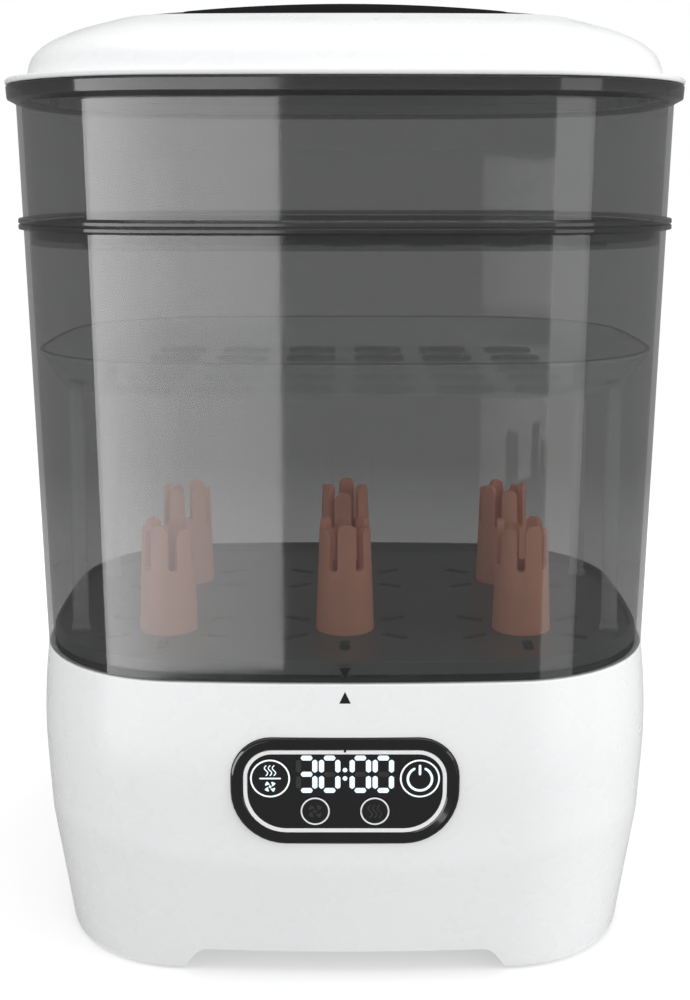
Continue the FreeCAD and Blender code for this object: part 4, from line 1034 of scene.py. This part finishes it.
def reflector(name, distance, bearings, heights, strengths):
    """An upright curved panel that only shiny surfaces show; its glow runs evenly from left to right."""
    steps = 24
    turns = [math.radians(bearings[0] + (bearings[1] - bearings[0]) * k / steps) for k in range(steps + 1)]
    points = [(distance * math.sin(a), -distance * math.cos(a), z) for z in heights for a in turns]
    faces = [(k, k + 1, k + steps + 2, k + steps + 1) for k in range(steps)]
    panel = new_object(name, points, faces)
    glow = Paint(name)
    axes = glow.tree.nodes.new("ShaderNodeSeparateXYZ")
    glow.link(glow.place, axes.inputs["Vector"])
    reach = glow.tree.nodes.new("ShaderNodeMapRange")
    reach.inputs["From Min"].default_value = points[0][0]
    reach.inputs["From Max"].default_value = points[steps][0]
    reach.inputs["To Min"].default_value = strengths[0]
    reach.inputs["To Max"].default_value = strengths[1]
    glow.link(axes.outputs["X"], reach.inputs["Value"])
    glow.link(reach.outputs["Result"], glow.shader.inputs["Emission Strength"])
    glow.set(Base_Color=(0.8, 0.8, 0.8, 1), Emission_Color=(1, 1, 1, 1))
    glow.material.cycles.emission_sampling = "NONE"
    panel.data.materials.append(glow.material)
    panel.visible_camera = False
    panel.visible_diffuse = False
    panel.visible_shadow = False


def backdrop_level(tree, plain, through, mirrored, lit):
    """The backdrop's brightness: seen plainly, through smoky plastic, in a reflection, and as light."""
    path = tree.nodes.new("ShaderNodeLightPath")

    def work_out(operation, *values):
        node = tree.nodes.new("ShaderNodeMath")
        node.operation = operation
        for socket, value in zip(node.inputs, values):
            if isinstance(value, float):
                socket.default_value = value
            else:
                tree.links.new(value, socket)
        return node.outputs["Value"]

    unveiled = work_out("LESS_THAN", path.outputs["Transparent Depth"], 0.5)
    seen = work_out("ADD", work_out("MULTIPLY", unveiled, plain - through), through - lit)
    seen = work_out("MULTIPLY", seen, path.outputs["Is Camera Ray"])
    mirror = work_out("MULTIPLY", path.outputs["Is Glossy Ray"], mirrored - lit)
    return work_out("ADD", work_out("ADD", seen, mirror), lit)


def make_world():
    world = bpy.data.worlds.new("studio")
    world.use_nodes = True
    bpy.context.scene.world = world
    tree = world.node_tree
    tree.nodes["Background"].inputs["Color"].default_value = (1, 1, 1, 1)
    level = backdrop_level(tree, 1.0, 0.42, 0.22, 0.42)
    tree.links.new(level, tree.nodes["Background"].inputs["Strength"])


def make_floor():
    """A pale floor without an edge: away from the object it glows as the backdrop does."""
    mesh = bpy.data.meshes.new("floor")
    floor = bpy.data.objects.new("floor", mesh)
    bpy.context.scene.collection.objects.link(floor)
    shape = bmesh.new()
    bmesh.ops.create_circle(shape, cap_ends=True, radius=12, segments=96)
    shape.to_mesh(mesh)
    shape.free()
    paint = Paint("floor")
    paint.rough(0.5, 0.6, 4).set(Specular_IOR_Level=0.1, Emission_Color=(1, 1, 1, 1))
    far = paint.tree.nodes.new("ShaderNodeVectorMath")
    far.operation = "LENGTH"
    paint.link(paint.place, far.inputs[0])
    tint = paint.ramp(far.outputs["Value"], [(0.3, (0.5, 0.5, 0.5)), (1.0, (0.0, 0.0, 0.0))])
    paint.link(tint, paint.shader.inputs["Base Color"])
    rise = paint.tree.nodes.new("ShaderNodeMapRange")
    rise.inputs["From Min"].default_value = 0.15
    rise.inputs["From Max"].default_value = 0.7
    rise.inputs["To Min"].default_value = 0.5
    paint.link(far.outputs["Value"], rise.inputs["Value"])
    glow = paint.tree.nodes.new("ShaderNodeMath")
    glow.operation = "MULTIPLY"
    paint.link(rise.outputs["Result"], glow.inputs[0])
    paint.link(backdrop_level(paint.tree, 1.0, 0.42, 0.22, 0.12), glow.inputs[1])
    paint.link(glow.outputs["Value"], paint.shader.inputs["Emission Strength"])
    paint.material.cycles.emission_sampling = "NONE"
    mesh.materials.append(paint.material)
    floor.visible_glossy = False


def make_camera():
    """The viewpoint: in front of the middle, a little above the lid's height, looking slightly down."""
    distance, height, pitch = 0.650, 0.330, 6.83
    focal_share = 1.42
    data = bpy.data.cameras.new("camera")
    data.sensor_fit = "AUTO"
    data.sensor_width = 36
    data.lens = 36 * focal_share
    data.shift_y = -0.15
    data.clip_start, data.clip_end = 0.05, 60
    camera = bpy.data.objects.new("camera", data)
    bpy.context.scene.collection.objects.link(camera)
    camera.location = (0, -distance, height)
    camera.rotation_euler = (math.radians(90 - pitch), 0, 0)
    bpy.context.scene.camera = camera


def make_studio():
    make_world()
    make_floor()
    make_camera()
    area_light("top_softbox", (0, -0.25, 1.9), (0, 0, 0.1), 1.8, 1.6, 18)
    area_light("front_fill", (0.7, -1.8, 0.7), (0, 0, 0.2), 1.5, 1.3, 11.5, mirrored=False)
    area_light("left_fill", (-1.6, -0.5, 0.7), (0, 0, 0.2), 1.2, 1.2, 11, mirrored=False)
    area_light("right_fill", (1.6, -0.5, 0.7), (0, 0, 0.2), 1.2, 1.2, 15, mirrored=False)
    area_light("back_light", (0.3, 1.9, 1.3), (0, 0, 0.2), 1.6, 1.2, 9, mirrored=False)
    reflector("left_reflector", 1.7, (-67, -6), (-0.56, 0.5), (4.6, 2.0))
    reflector("right_reflector", 1.7, (33, 58), (-0.56, 0.5), (1.1, 1.1))
    bpy.context.scene.view_settings.view_transform = "Standard"


paint_cad_nodes()
make_pieces()
make_studio()
